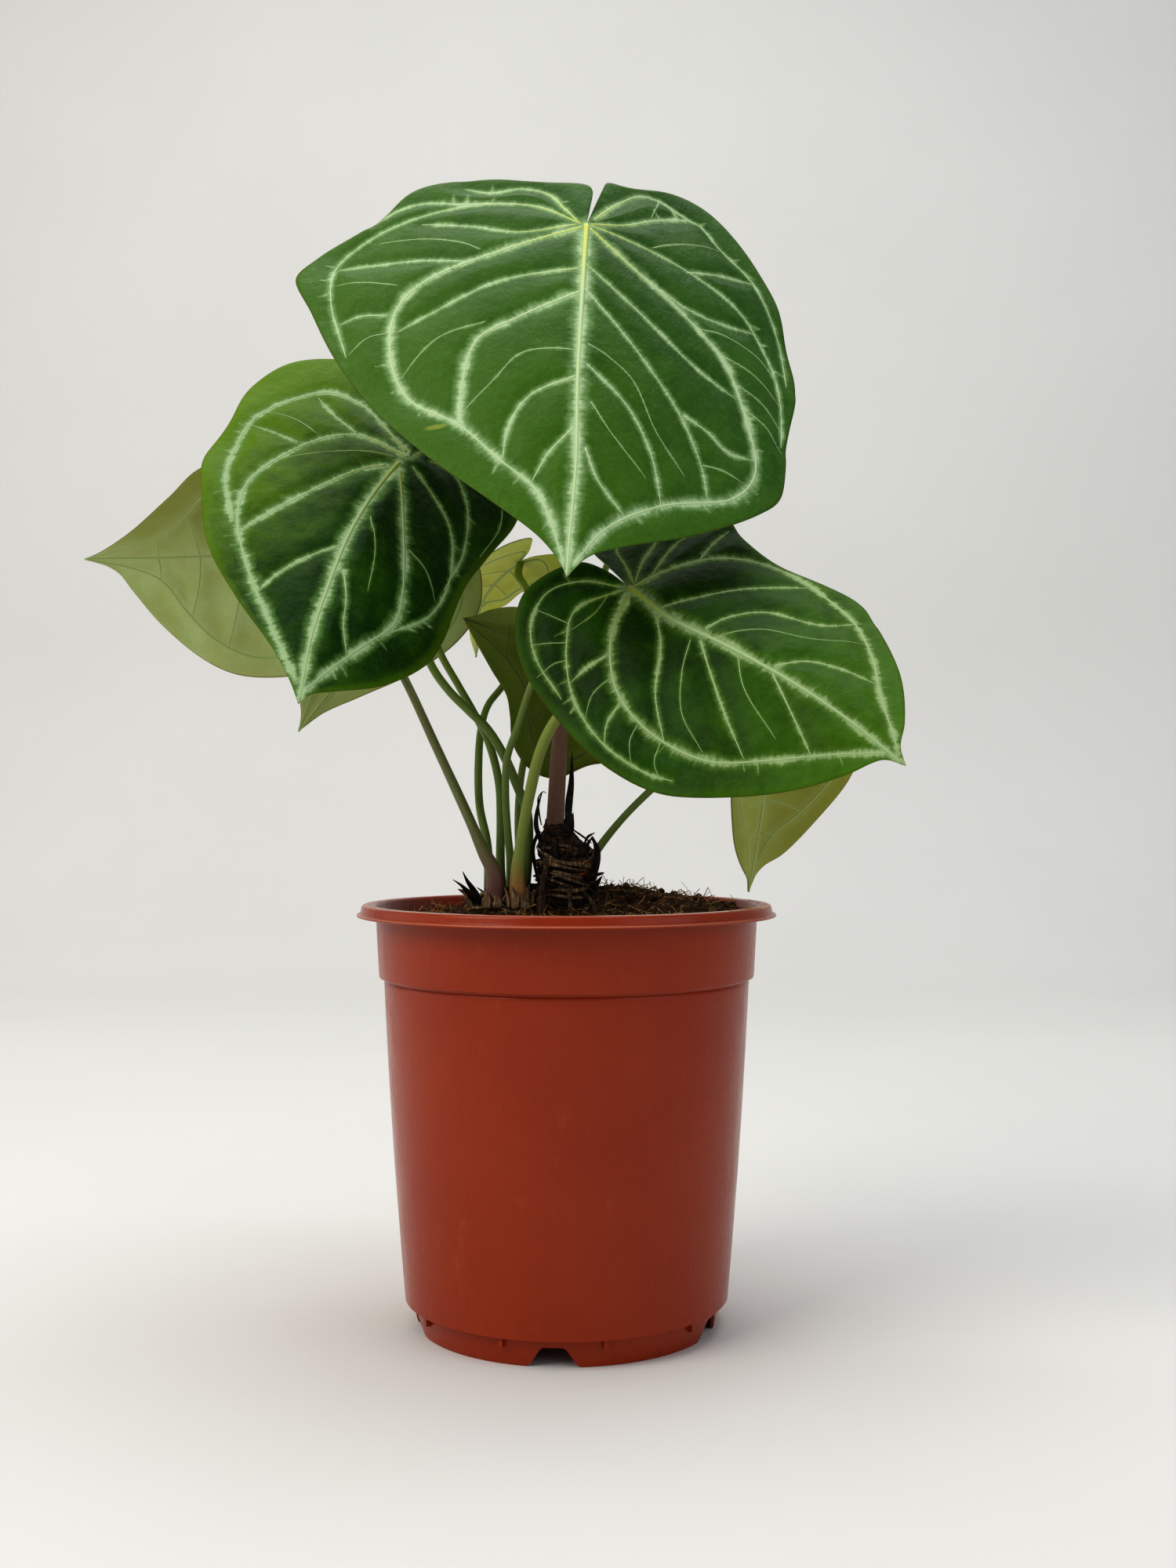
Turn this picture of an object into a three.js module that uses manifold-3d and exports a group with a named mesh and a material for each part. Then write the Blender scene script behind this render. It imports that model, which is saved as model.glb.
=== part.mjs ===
// Potted silver blush anthurium: nine heart-shaped leaves on their stalks, the stem they grow
// from, the soil, and a moulded plastic nursery pot. Millimetres, +Z up, the front looks along -Y.

import * as THREE from 'three';
import { mergeVertices } from 'three/addons/utils/BufferGeometryUtils.js';
import Module from 'manifold-3d';

const wasm = await Module();
wasm.setup();

// Driving dimensions
const GAP = 0.3;                       // clearance between touching pieces
const POT_AXIS = [51, -13];            // the pot's axis, from the middle of the whole plant
const WEED_TRIM = 0.001;               // how close two corners are before they are one

const RIM_RADIUS = 100;                // outside of the thin fin at the rim's lower edge
const RIM_TOP = 198.5;
const FIN_BOTTOM = 193;
const FIN_TOP = 194;
const LIP_OUTER = 98;
const LIP_INNER = 96.6;
const MOUTH_RADIUS = 91.9;
const WALL = 1.4;
const COLLAR_TOP_RADIUS = 90.9;
const COLLAR_FOOT_RADIUS = 89.4;
const COLLAR_FOOT = 165.5;
const BODY_TOP = 162;
const BODY_TOP_RADIUS = 87;
const BODY_BOTTOM = 13;
const BODY_BOTTOM_RADIUS = 76.8;
const BODY_BULGE = 0.8;
const FOOT_TOP_RADIUS = 73.4;
const FOOT_RADIUS = 70.5;
const FLOOR_BOTTOM = 12.4;
const FLOOR_TOP = 14;
const POT_SIDES = 60;

const NOTCH_COUNT = 5;
const NOTCH_HEIGHT = 9;
const NOTCH_TOP_WIDTH = 8;
const NOTCH_FOOT_WIDTH = 24;
const FIRST_NOTCH = -94;               // degrees: 4 degrees to the left of the front
const PEG_SIZE = [2, 2.6, 5];          // width, depth, height
const PEG_RADIUS = 73.9;
const DRAIN_RADIUS = 4.5;
const DRAIN_CIRCLE = 50;

const SOIL_LEVEL = 190;
const SOIL_HEAPS = [                   // centre x, y, height, spread of each heap
  [18, 36, 13, 30],
  [62, 20, 5, 22],
  [-30, 2, 6, 24],
];

const BLADE_THICKNESS = 1;
const BLADE_STEPS_ROUND = 16;
const BLADE_STEPS_ACROSS = 4;
const LOBE_SHARE = 0.26;               // the part of each edge that runs from the joint to the lobe's end
const STALK_SIDES = 8;
const STALK_LEAD = 8;                  // how far below its blade a stalk turns square to it

const COLOUR = {
  pot: 0x86402b,
  soil: 0x3a2a1c,
  stem: 0x2e2018,
  sheath: 0x241a14,
  root: 0x5a4330,
  stalk: 0x6d7d3f,
  brownStalk: 0x6b5146,
  blade: 0x2c5a22,
};

const finish = (colour, roughness) => new THREE.MeshStandardMaterial({ color: colour, roughness, metalness: 0 });

// A closed solid from loose triangles: corners that coincide become one and thin slivers go.
function closedSolid(positions, indices) {
  let geometry = new THREE.BufferGeometry();
  geometry.setAttribute('position', new THREE.Float32BufferAttribute(positions, 3));
  geometry.setIndex(indices);
  geometry = mergeVertices(geometry, WEED_TRIM);
  const merged = geometry.getIndex().array;
  const kept = [];
  for (let i = 0; i < merged.length; i += 3) {
    const [a, b, c] = [merged[i], merged[i + 1], merged[i + 2]];
    if (a !== b && b !== c && c !== a) kept.push(a, b, c);
  }
  geometry.setIndex(kept);
  return geometry;
}

function bareSolid(geometry) {
  const index = geometry.getIndex();
  const count = geometry.getAttribute('position').count;
  const order = index ? Array.from(index.array) : Array.from({ length: count }, (_, i) => i);
  return closedSolid(Array.from(geometry.getAttribute('position').array), order);
}

function toManifold(geometry) {
  const solid = bareSolid(geometry);
  return new wasm.Manifold(new wasm.Mesh({
    numProp: 3,
    vertProperties: new Float32Array(solid.getAttribute('position').array),
    triVerts: new Uint32Array(solid.getIndex().array),
  }));
}

// The largest piece of a manifold, as a geometry.
function fromManifold(manifold) {
  const pieces = manifold.decompose();
  pieces.sort((a, b) => b.volume() - a.volume());
  const mesh = pieces[0].getMesh();
  return closedSolid(Array.from(mesh.vertProperties), Array.from(mesh.triVerts));
}

function cutAway(geometry, tools) {
  let solid = toManifold(geometry);
  for (const tool of tools) solid = solid.subtract(toManifold(tool));
  return fromManifold(solid);
}

// A tube along a smooth curve through the points, whose radius follows its own list.
function taperedTube(points, radii, sides, steps, swell = 0) {
  const curve = new THREE.CatmullRomCurve3(points.map((p) => new THREE.Vector3(...p)), false, 'centripetal');
  const frames = curve.computeFrenetFrames(steps, false);
  const positions = [];
  const indices = [];
  for (let i = 0; i <= steps; i += 1) {
    const centre = curve.getPointAt(i / steps);
    const place = (i / steps) * (radii.length - 1);
    const low = Math.min(Math.floor(place), radii.length - 2);
    const radius = THREE.MathUtils.lerp(radii[low], radii[low + 1], place - low) + swell;
    if (i === 0) centre.addScaledVector(frames.tangents[0], -swell);
    if (i === steps) centre.addScaledVector(frames.tangents[steps], swell);
    for (let k = 0; k < sides; k += 1) {
      const turn = (2 * Math.PI * k) / sides;
      const corner = centre.clone()
        .addScaledVector(frames.normals[i], radius * Math.cos(turn))
        .addScaledVector(frames.binormals[i], radius * Math.sin(turn));
      positions.push(corner.x, corner.y, corner.z);
    }
  }
  for (let i = 0; i < steps; i += 1) {
    for (let k = 0; k < sides; k += 1) {
      const a = i * sides + k;
      const b = i * sides + ((k + 1) % sides);
      indices.push(a, b, a + sides, b, b + sides, a + sides);
    }
  }
  for (let k = 1; k < sides - 1; k += 1) {
    const last = steps * sides;
    indices.push(0, k + 1, k, last, last + k, last + k + 1);
  }
  return closedSolid(positions, indices);
}

// Pot: one lathe-turned shell with notches in its foot, drain holes and small pegs.
function bodyRadius(z) {
  const share = (z - BODY_BOTTOM) / (BODY_TOP - BODY_BOTTOM);
  return THREE.MathUtils.lerp(BODY_BOTTOM_RADIUS, BODY_TOP_RADIUS, share) + BODY_BULGE * Math.sin(Math.PI * share);
}

function potProfile() {
  const heights = [BODY_BOTTOM, 50, 88, 125, BODY_TOP];
  const outside = heights.map((z) => [bodyRadius(z), z]);
  const inside = heights.slice(1).reverse().map((z) => [bodyRadius(z) - WALL, z]);
  return [
    [0, FLOOR_BOTTOM],
    [FOOT_TOP_RADIUS - WALL, FLOOR_BOTTOM],
    [FOOT_RADIUS - WALL, 0],
    [FOOT_RADIUS, 0],
    [FOOT_TOP_RADIUS, BODY_BOTTOM - 1],
    [BODY_BOTTOM_RADIUS, BODY_BOTTOM - 0.2],
    ...outside,
    [COLLAR_FOOT_RADIUS - 0.4, COLLAR_FOOT - 1.5],
    [COLLAR_FOOT_RADIUS, COLLAR_FOOT],
    [COLLAR_TOP_RADIUS, FIN_BOTTOM - 1],
    [COLLAR_TOP_RADIUS + 1, RIM_TOP - 1.4],
    [LIP_INNER, RIM_TOP - 1.6],
    [LIP_INNER, FIN_BOTTOM],
    [RIM_RADIUS, FIN_BOTTOM],
    [RIM_RADIUS, FIN_TOP],
    [LIP_OUTER + 0.3, FIN_TOP + 0.4],
    [LIP_OUTER - 0.3, RIM_TOP - 0.9],
    [LIP_OUTER - 1.2, RIM_TOP],
    [MOUTH_RADIUS, RIM_TOP],
    [MOUTH_RADIUS - 0.9, RIM_TOP - 1],
    [COLLAR_TOP_RADIUS - WALL, FIN_BOTTOM - 1],
    [COLLAR_FOOT_RADIUS - WALL, COLLAR_FOOT],
    ...inside,
    [BODY_BOTTOM_RADIUS - WALL, FLOOR_TOP + 1],
    [BODY_BOTTOM_RADIUS - WALL - 1, FLOOR_TOP],
    [0, FLOOR_TOP],
  ];
}

function lathe(profile, sides) {
  return new THREE.LatheGeometry(profile.map(([r, z]) => new THREE.Vector2(r, z)), sides).rotateX(Math.PI / 2);
}

function aroundPot(geometry, degrees) {
  return geometry.rotateZ(THREE.MathUtils.degToRad(degrees));
}

function notchTool(degrees) {
  const foot = NOTCH_FOOT_WIDTH / 2;
  const top = NOTCH_TOP_WIDTH / 2;
  const outline = new THREE.Shape();
  outline.moveTo(-foot, -1);
  outline.lineTo(foot, -1);
  outline.lineTo(foot, 0);
  outline.bezierCurveTo(foot - 4, 0.3, top + 2, NOTCH_HEIGHT - 2, top, NOTCH_HEIGHT);
  outline.lineTo(-top, NOTCH_HEIGHT);
  outline.bezierCurveTo(-top - 2, NOTCH_HEIGHT - 2, 4 - foot, 0.3, -foot, 0);
  const reach = 20;
  const tool = new THREE.ExtrudeGeometry(outline, { depth: reach, bevelEnabled: false, curveSegments: 3 });
  tool.rotateX(Math.PI / 2).rotateZ(Math.PI / 2).translate(FOOT_RADIUS - reach / 2, 0, 0);
  return aroundPot(tool, degrees);
}

function pot() {
  let solid = toManifold(lathe(potProfile(), POT_SIDES));
  const step = 360 / NOTCH_COUNT;
  for (let i = 0; i < NOTCH_COUNT; i += 1) {
    const angle = FIRST_NOTCH + i * step;
    solid = solid.subtract(toManifold(notchTool(angle)));
    const drain = new THREE.CylinderGeometry(DRAIN_RADIUS, DRAIN_RADIUS, 10, 12).rotateX(Math.PI / 2);
    solid = solid.subtract(toManifold(aroundPot(drain.translate(DRAIN_CIRCLE, 0, FLOOR_TOP), angle + step / 2)));
    for (const side of [-step / 4, step / 4]) {
      const peg = new THREE.BoxGeometry(PEG_SIZE[1], PEG_SIZE[0], PEG_SIZE[2]);
      peg.translate(PEG_RADIUS, 0, BODY_BOTTOM - PEG_SIZE[2] / 2 + 0.4);
      solid = solid.add(toManifold(aroundPot(peg, angle + side)));
    }
  }
  return fromManifold(solid);
}

// Soil: fills the pot and heaps up round the stem, highest to the back right.
function soilHeight(x, y) {
  const heaped = SOIL_HEAPS.reduce(
    (sum, [cx, cy, rise, spread]) => sum + rise * Math.exp(-((x - cx) ** 2 + (y - cy) ** 2) / (2 * spread ** 2)),
    SOIL_LEVEL,
  );
  return heaped + 0.8 * Math.sin(x / 7) * Math.cos(y / 9);
}

function soil() {
  const sides = 36;
  const below = [[0, FLOOR_TOP + GAP], [bodyRadius(BODY_BOTTOM) - WALL - 1.5, FLOOR_TOP + GAP]];
  const wall = [50, 100, BODY_TOP].map((z) => [bodyRadius(z) - WALL - GAP - 0.3, z]);
  const edge = bodyRadius(BODY_TOP) - WALL - GAP - 0.3;
  const rings = [...below, ...wall, [edge, null], [68, null], [50, null], [32, null], [15, null], [0, null]];
  const positions = [];
  const indices = [];
  rings.forEach(([radius, z]) => {
    for (let k = 0; k < sides; k += 1) {
      const turn = (2 * Math.PI * k) / sides;
      const [x, y] = [radius * Math.cos(turn), radius * Math.sin(turn)];
      positions.push(x, y, z ?? soilHeight(x, y));
    }
  });
  for (let i = 0; i < rings.length - 1; i += 1) {
    for (let k = 0; k < sides; k += 1) {
      const a = i * sides + k;
      const b = i * sides + ((k + 1) % sides);
      indices.push(a, b, a + sides, b, b + sides, a + sides);
    }
  }
  return closedSolid(positions, indices);
}

// Stem: an upright ringed knob that carries the tall leaf, and a low side shoot for the others.
const KNOB_AXIS = [-2, 1];
const KNOB = [
  [0, 176], [9, 178], [12, 186], [12.5, 196], [12.5, 203], [12, 207], [13.5, 212], [13.5, 218],
  [12.5, 221], [12, 225], [10, 230], [7.5, 235], [5.8, 238.5], [0, 239],
];
const SHOOT_AXIS = [-29.5, 0.5];
const SHOOT = [[0, 180], [8, 181], [14.5, 188], [16, 196], [12, 203], [6, 206.5], [0, 207]];

function standing(profile, [x, y], swell = 0) {
  const grown = profile.map(([r, z], i) => {
    const end = i < 2 ? -swell : swell;
    return [r === 0 ? 0 : r + swell, z + (i < 2 || i > profile.length - 3 ? end : 0)];
  });
  return lathe(grown, 20).translate(x, y, 0);
}

// Leaves. Each blade is a sheet drawn flat, u to its right and v from the stalk's joint to the
// tip, and then bent: its midrib arches down from the joint and its halves fold and curl.
// heading is the compass of the tip in degrees from +X, pitch its slope below level at the
// joint, bend and back what the slope gains over one length towards the tip and away from it.
// edges are [u, v] points round each half, from the joint through the lobe to the tip.
const LEAVES = [
  {
    name: 'tall', joint: [9.5, -10, 522.3], heading: -92, pitch: 55, bend: 15, back: 18, roll: -11,
    length: 205, half: 130, fold: [12, 14], curl: [8, 12],
    edges: [
      [[0, 0], [1, -14], [1, -29], [-18, -34], [-52, -40], [-84, -37], [-104, -12], [-130, 8], [-139, 22],
        [-128, 51], [-113, 84], [-92, 116], [-67, 143], [-40, 166], [-16, 187], [-8, 198], [-5, 205]],
      [[0, 0], [4, -18], [7, -37], [20, -43], [48, -57], [66, -57], [84, -43], [103, -15], [113, 23],
        [116, 60], [108, 99], [104, 131], [90, 147], [56, 170], [21, 186], [5, 194], [-5, 205]],
    ],
    stalk: [[-6, 0, 231], [-5, -1, 248], [-3, -8, 281], [-1, -19, 308], [1, -28, 333], [3, -25, 352],
      [5, -11, 389], [8, 6, 445], [9.5, 9, 485], [9.5, 3, 508]],
    radii: [4.5, 3.5, 3.1, 3, 3, 2.9, 2.8],
  },
  {
    name: 'left', joint: [-76.1, -10, 409.6], heading: -109, pitch: 45, bend: 10, back: 5, roll: -22,
    length: 165, half: 90, fold: [4, 24], curl: [8, 20],
    edges: [
      [[0, 0], [-5, -25], [-16, -50], [-34, -68], [-57, -73], [-80, -65], [-94, -42], [-93, -10], [-94, 20],
        [-84, 48], [-68, 81], [-43, 111], [-21, 133], [-8, 149], [-1, 160]],
      [[0, 0], [4, -28], [14, -55], [32, -66], [52, -54], [62, -20], [56, 22], [51, 50], [50, 90],
        [46, 108], [30, 132], [10, 148], [3, 153], [-1, 160]],
    ],
    stalk: [[-21, 6, 199], [-19, 6, 220], [-19, 5, 241], [-24, 2, 255], [-30, -2, 269], [-38, -5, 282],
      [-47, -6, 291], [-56, -6, 300], [-65, -5, 313], [-72, -2, 335], [-77, 2, 369], [-79, 2, 393]],
    radii: [3.2, 2.6, 2.5, 2.4, 2.3, 2.2],
  },
  {
    name: 'right', joint: [28.9, -50, 343.8], heading: -31, pitch: 27, bend: 4, back: 8, roll: 44,
    length: 150, half: 80, fold: [13, 6], curl: [18, 10],
    edges: [
      [[0, 0], [2, -16], [0, -28], [-9, -37], [-26, -43], [-45, -34], [-60, -15], [-72, 18], [-77, 48],
        [-74, 76], [-59, 104], [-42, 126], [-26, 139], [-12, 147], [-9, 156]],
      [[0, 0], [5, -14], [9, -29], [24, -44], [48, -46], [68, -26], [74, 0], [66, 16], [61, 40],
        [62, 80], [52, 98], [32, 124], [8, 143], [-3, 149], [-9, 156]],
    ],
    stalk: [[-27, -3, 199], [-27, -4, 219], [-28, -6, 232], [-29, -9, 252], [-28, -13, 268], [-23, -18, 282],
      [-16, -25, 302], [-7, -34, 319], [4, -39, 330], [17, -42, 336]],
    radii: [2.4, 1.9, 1.8, 1.8, 1.8, 1.8],
  },
  {
    name: 'far_left', joint: [-134.7, 80, 381], heading: 182, pitch: 3, bend: 4, back: 10, roll: 50,
    length: 120, half: 72, fold: [10, 10], curl: [10, 10],
    edges: [
      [[0, 0], [-5, -20], [-20, -36], [-42, -34], [-62, -12], [-71, 20], [-69, 48], [-58, 68], [-37, 87],
        [-16, 99], [-4, 105], [6, 119]],
      [[0, 0], [5, -20], [20, -36], [42, -32], [60, -10], [66, 16], [61, 46], [41, 68], [20, 92],
        [10, 109], [6, 119]],
    ],
    stalk: [[-34, -13, 200], [-34, -13, 213], [-39, -10, 223], [-49.5, -1, 245], [-65.2, 24, 275],
      [-84, 50, 311], [-102, 60, 341], [-122, 67, 364]],
    radii: [4.6, 2.5, 2.2, 2.2, 2.2, 2.1, 2],
  },
  {
    name: 'under_left', joint: [-80.5, 38, 366.7], heading: 186, pitch: 60, bend: 2, back: 5, roll: 75,
    length: 105, half: 60, fold: [8, 8], curl: [10, 10],
    edges: [
      [[0, 0], [-4, -18], [-16, -28], [-32, -18], [-42, 0], [-41, 20], [-30, 45], [-12, 70], [0, 86], [7, 100]],
      [[0, 0], [5, -20], [22, -32], [42, -20], [50, 6], [44, 34], [32, 58], [20, 78], [10, 92], [7, 100]],
    ],
    stalk: [[-31, 3, 199], [-32, 3, 216], [-32, 4, 239], [-33, 5, 257], [-38, 7, 276], [-45, 8, 290],
      [-53, 10, 304], [-62, 12, 320], [-70, 16, 342]],
    radii: [3, 2.3, 2.2, 2.1, 2],
  },
  {
    name: 'back_centre', joint: [-25.4, 80, 374.8], heading: 119, pitch: 10, bend: 36, back: 0, roll: 12,
    length: 100, half: 50, fold: [30, 23], curl: [30, 12],
    edges: [
      [[0, 0], [-3, -16], [-12, -32], [-20, -26], [-20, 0], [-14, 18], [-11, 43], [-3, 60], [-2, 75], [-12, 89]],
      [[0, 0], [5, -20], [16, -42], [27, -40], [34, -20], [34, 8], [24, 38], [6, 66], [-4, 78], [-12, 89]],
    ],
    stalk: [[-38, 12, 199], [-39, 14, 226], [-43, 18, 245], [-44, 24, 266], [-43, 32, 285], [-40, 37, 296],
      [-33, 43, 306], [-25, 52, 322], [-20, 63, 342], [-22, 73, 359]],
    radii: [2.8, 2.2, 2, 2, 1.9],
  },
  {
    name: 'low_centre', joint: [25.7, 22, 310.2], heading: 180, pitch: -18, bend: -5, back: -5, roll: 65,
    length: 85, half: 62, fold: [10, 45], curl: [10, 10],
    edges: [
      [[0, 0], [-4, -16], [-18, -26], [-38, -20], [-48, 0], [-60, 14], [-60, 26], [-51, 38], [-38, 44],
        [-29, 49], [-20, 60], [-8, 74], [-1, 82]],
      [[0, 0], [5, -16], [20, -26], [38, -14], [45, 12], [43, 38], [33, 57], [18, 69], [6, 76], [-1, 82]],
    ],
    stalk: [[-23, -15, 200], [-23, -15, 215], [-21, -15, 231], [-17, -17, 252], [-12, -21, 271], [-5, -24, 285],
      [5, -20, 296], [15, -5, 302]],
    radii: [4.2, 2.7, 2.6, 2.6, 2.5, 2.4, 2.2],
  },
  {
    name: 'low_right', joint: [104.5, 35, 295.5], heading: 105, pitch: 68, bend: 8, back: 8, roll: -8,
    length: 100, half: 55, fold: [8, 22], curl: [10, 20],
    edges: [
      [[0, 0], [-5, -18], [-22, -28], [-42, -14], [-49, 12], [-46, 36], [-31, 60], [-14, 80], [-3, 87], [5, 99]],
      [[0, 0], [5, -18], [20, -28], [36, -16], [40, 10], [30, 40], [20, 71], [12, 85], [7, 92], [5, 99]],
    ],
    stalk: [[9, 14, 214], [15, 14, 224], [27, 14, 239], [41, 13, 253], [60, 9, 269], [78, 2, 281], [92, 6, 288],
      [103, 18, 291]],
    radii: [3, 2.4, 2.3, 2.2, 2.1, 2],
  },
  {
    name: 'back_right', joint: [30.3, 55, 433.5], heading: 70, pitch: 25, bend: 20, back: 10, roll: 5,
    length: 105, half: 52, fold: [8, 8], curl: [15, 15],
    edges: [
      [[0, 0], [-4, -20], [-18, -34], [-38, -28], [-50, 0], [-44, 34], [-26, 66], [-9, 90], [0, 105]],
      [[0, 0], [4, -20], [18, -34], [38, -28], [50, 0], [44, 34], [26, 66], [9, 90], [0, 105]],
    ],
    stalk: [[-22, 15, 198], [-24, 18, 236], [-24, 30, 252], [-22, 37, 268], [-14, 45, 296], [4, 52, 336],
      [20, 54, 369], [27, 52, 400]],
    radii: [2.8, 2, 2, 2, 1.9, 1.8],
  },
];

// The distance along and away from a line that starts at one angle and turns steadily.
function arc(start, turn, distance) {
  const rate = Math.abs(turn) < 1e-6 ? 1e-6 : turn;
  const end = start + rate * distance;
  return [(Math.sin(end) - Math.sin(start)) / rate, (Math.cos(start) - Math.cos(end)) / rate];
}

function bladePoint(leaf, u, v) {
  const rad = THREE.MathUtils.degToRad;
  const slope = rad(v >= 0 ? leaf.bend : leaf.back) / leaf.length;
  const [along, down] = arc(rad(leaf.pitch), slope, v);
  const heading = new THREE.Vector3(Math.cos(rad(leaf.heading)), Math.sin(rad(leaf.heading)), 0);
  const up = new THREE.Vector3(0, 0, 1);
  const across = new THREE.Vector3().crossVectors(up, heading);
  const pitch = rad(leaf.pitch) + slope * v;
  const normal = heading.clone().multiplyScalar(Math.sin(pitch)).addScaledVector(up, Math.cos(pitch));
  const tangent = heading.clone().multiplyScalar(Math.cos(pitch)).addScaledVector(up, -Math.sin(pitch));
  across.applyAxisAngle(tangent, rad(leaf.roll));
  normal.applyAxisAngle(tangent, rad(leaf.roll));
  const half = u >= 0 ? 1 : 0;
  const [out, drop] = arc(rad(leaf.fold[half]), rad(leaf.curl[half]) / leaf.half, Math.abs(u));
  return new THREE.Vector3(...leaf.joint)
    .addScaledVector(heading, along)
    .addScaledVector(up, -down)
    .addScaledVector(across, Math.sign(u) * out)
    .addScaledVector(normal, -drop);
}

function bladeNormal(leaf, u, v) {
  const step = 0.5;
  const across = bladePoint(leaf, u + step, v).sub(bladePoint(leaf, u - step, v));
  const along = bladePoint(leaf, u, v + step).sub(bladePoint(leaf, u, v - step));
  return new THREE.Vector3().crossVectors(along, across).normalize();
}

// Rows of [u, v] for one half: each row runs from the midrib to a point of the edge. Rows that
// end on the lobe start at the joint, and the rest start further and further down the midrib.
function halfGrid(edge) {
  const curve = new THREE.CatmullRomCurve3(edge.map(([u, v]) => new THREE.Vector3(u, v, 0)), false, 'centripetal');
  const tip = edge[edge.length - 1];
  const rows = [];
  for (let i = 0; i <= BLADE_STEPS_ROUND; i += 1) {
    const share = i / BLADE_STEPS_ROUND;
    const rim = curve.getPointAt(share);
    const rib = Math.max(0, (share - LOBE_SHARE) / (1 - LOBE_SHARE));
    const row = [];
    for (let k = 0; k <= BLADE_STEPS_ACROSS; k += 1) {
      const out = k / BLADE_STEPS_ACROSS;
      row.push([
        THREE.MathUtils.lerp(tip[0] * rib, rim.x, out),
        THREE.MathUtils.lerp(tip[1] * rib, rim.y, out),
      ]);
    }
    rows.push(row);
  }
  return rows;
}

function blade(leaf) {
  const positions = [];
  const indices = [];
  leaf.edges.forEach((edge, half) => {
    const rows = halfGrid(edge);
    const width = BLADE_STEPS_ACROSS + 1;
    const face = (a, b, c, flip) => (flip ? indices.push(a, c, b) : indices.push(a, b, c));
    const tops = positions.length / 3;
    const under = tops + rows.length * width;
    for (const lift of [0.5, -0.5]) {
      for (const row of rows) {
        for (const [u, v] of row) {
          const point = bladePoint(leaf, u, v).addScaledVector(bladeNormal(leaf, u, v), lift * BLADE_THICKNESS);
          positions.push(point.x, point.y, point.z);
        }
      }
    }
    for (let i = 0; i < rows.length - 1; i += 1) {
      for (let k = 0; k < BLADE_STEPS_ACROSS; k += 1) {
        const a = i * width + k;
        const flip = half === 0;
        face(tops + a, tops + a + width, tops + a + 1, flip);
        face(tops + a + 1, tops + a + width, tops + a + width + 1, flip);
        face(under + a, under + a + 1, under + a + width, flip);
        face(under + a + 1, under + a + width + 1, under + a + width, flip);
      }
      const rim = i * width + BLADE_STEPS_ACROSS;
      face(tops + rim, tops + rim + width, under + rim, half === 0);
      face(under + rim, tops + rim + width, under + rim + width, half === 0);
    }
  });
  return closedSolid(positions, indices);
}

// A stalk ends square under its blade's joint, clear of the two halves that slope down beside it.
function stalk(leaf, swell = 0) {
  const normal = bladeNormal(leaf, 0, 0);
  const seat = bladePoint(leaf, 0, 0);
  const slope = Math.tan(THREE.MathUtils.degToRad(Math.max(...leaf.fold)));
  const clear = BLADE_THICKNESS / 2 + GAP + leaf.radii[leaf.radii.length - 1] * slope;
  const end = seat.clone().addScaledVector(normal, -clear);
  const lead = seat.clone().addScaledVector(normal, -STALK_LEAD);
  const points = [...leaf.stalk, lead.toArray(), end.toArray()];
  return taperedTube(points, leaf.radii, STALK_SIDES, 18, swell);
}

// Dry sheaths: flat pointed blades that once wrapped young leaves, round the knob and the shoot.
const SHEATHS = [
  { base: [11.5, -8, 212], tip: [12.5, -10.5, 230], width: 5 },
  { base: [0.5, -7.5, 231], tip: [3, -8.5, 241], width: 5 },
  { base: [1.5, 2.5, 238.8], tip: [2.5, -1, 270], width: 4 },
  { base: [-12.8, -7, 229], tip: [-13.5, -8, 251], width: 4 },
  { base: [-43, -8.5, 199], tip: [-52.5, -14.5, 210.5], width: 3 },
  { base: [-41.5, -12.5, 200.5], tip: [-48, -20, 214], width: 3 },
  { base: [11.5, -4, 204.5], tip: [16.5, -8, 211.5], width: 3.5 },
];

function sheath({ base, tip, width }, swell = 0) {
  const foot = new THREE.Vector3(...base);
  const point = new THREE.Vector3(...tip);
  const rise = point.clone().sub(foot);
  const across = new THREE.Vector3(-rise.y, rise.x, 0);
  if (across.length() < 1) across.set(1, 0, 0);
  across.normalize().multiplyScalar(width / 2 + swell);
  const thick = new THREE.Vector3().crossVectors(across, rise).normalize().multiplyScalar(0.5 + swell);
  const positions = [];
  const ring = (centre, scale) => {
    for (const [a, b] of [[1, 0], [0, 1], [-1, 0], [0, -1]]) {
      const corner = centre.clone().addScaledVector(across, a * scale).addScaledVector(thick, b);
      positions.push(corner.x, corner.y, corner.z);
    }
  };
  ring(foot, 1);
  ring(foot.clone().addScaledVector(rise, 0.5), 0.7);
  ring(foot.clone().addScaledVector(rise, 1), 0.08);
  const indices = [];
  for (const low of [0, 4]) {
    for (let k = 0; k < 4; k += 1) {
      const [a, b] = [low + k, low + ((k + 1) % 4)];
      indices.push(a, a + 4, b, b, a + 4, b + 4);
    }
  }
  indices.push(0, 1, 2, 0, 2, 3, 8, 10, 9, 8, 11, 10);
  return closedSolid(positions, indices);
}

// Aerial roots: short brown roots that come off the stem and go down into the soil.
const ROOTS = [
  { path: [[-8.5, -11, 219], [-10.5, -14.5, 211], [-11.5, -16.5, 203], [-12, -18, 193], [-12, -18, 180]], radii: [2, 2.6, 2.2, 1.6] },
  { path: [[1, -12.5, 206], [2, -15.5, 199], [3, -18, 192], [3, -18, 180]], radii: [1.5, 1.6, 1.2] },
  { path: [[8, -8.5, 205], [12, -12, 199], [14, -15, 192], [14, -15, 180]], radii: [1.4, 1.5, 1.1] },
];

const group = new THREE.Group();
group.position.set(POT_AXIS[0], POT_AXIS[1], 0);

function addPiece(name, geometry, material) {
  const mesh = new THREE.Mesh(geometry, material);
  mesh.name = name;
  group.add(mesh);
}

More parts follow.
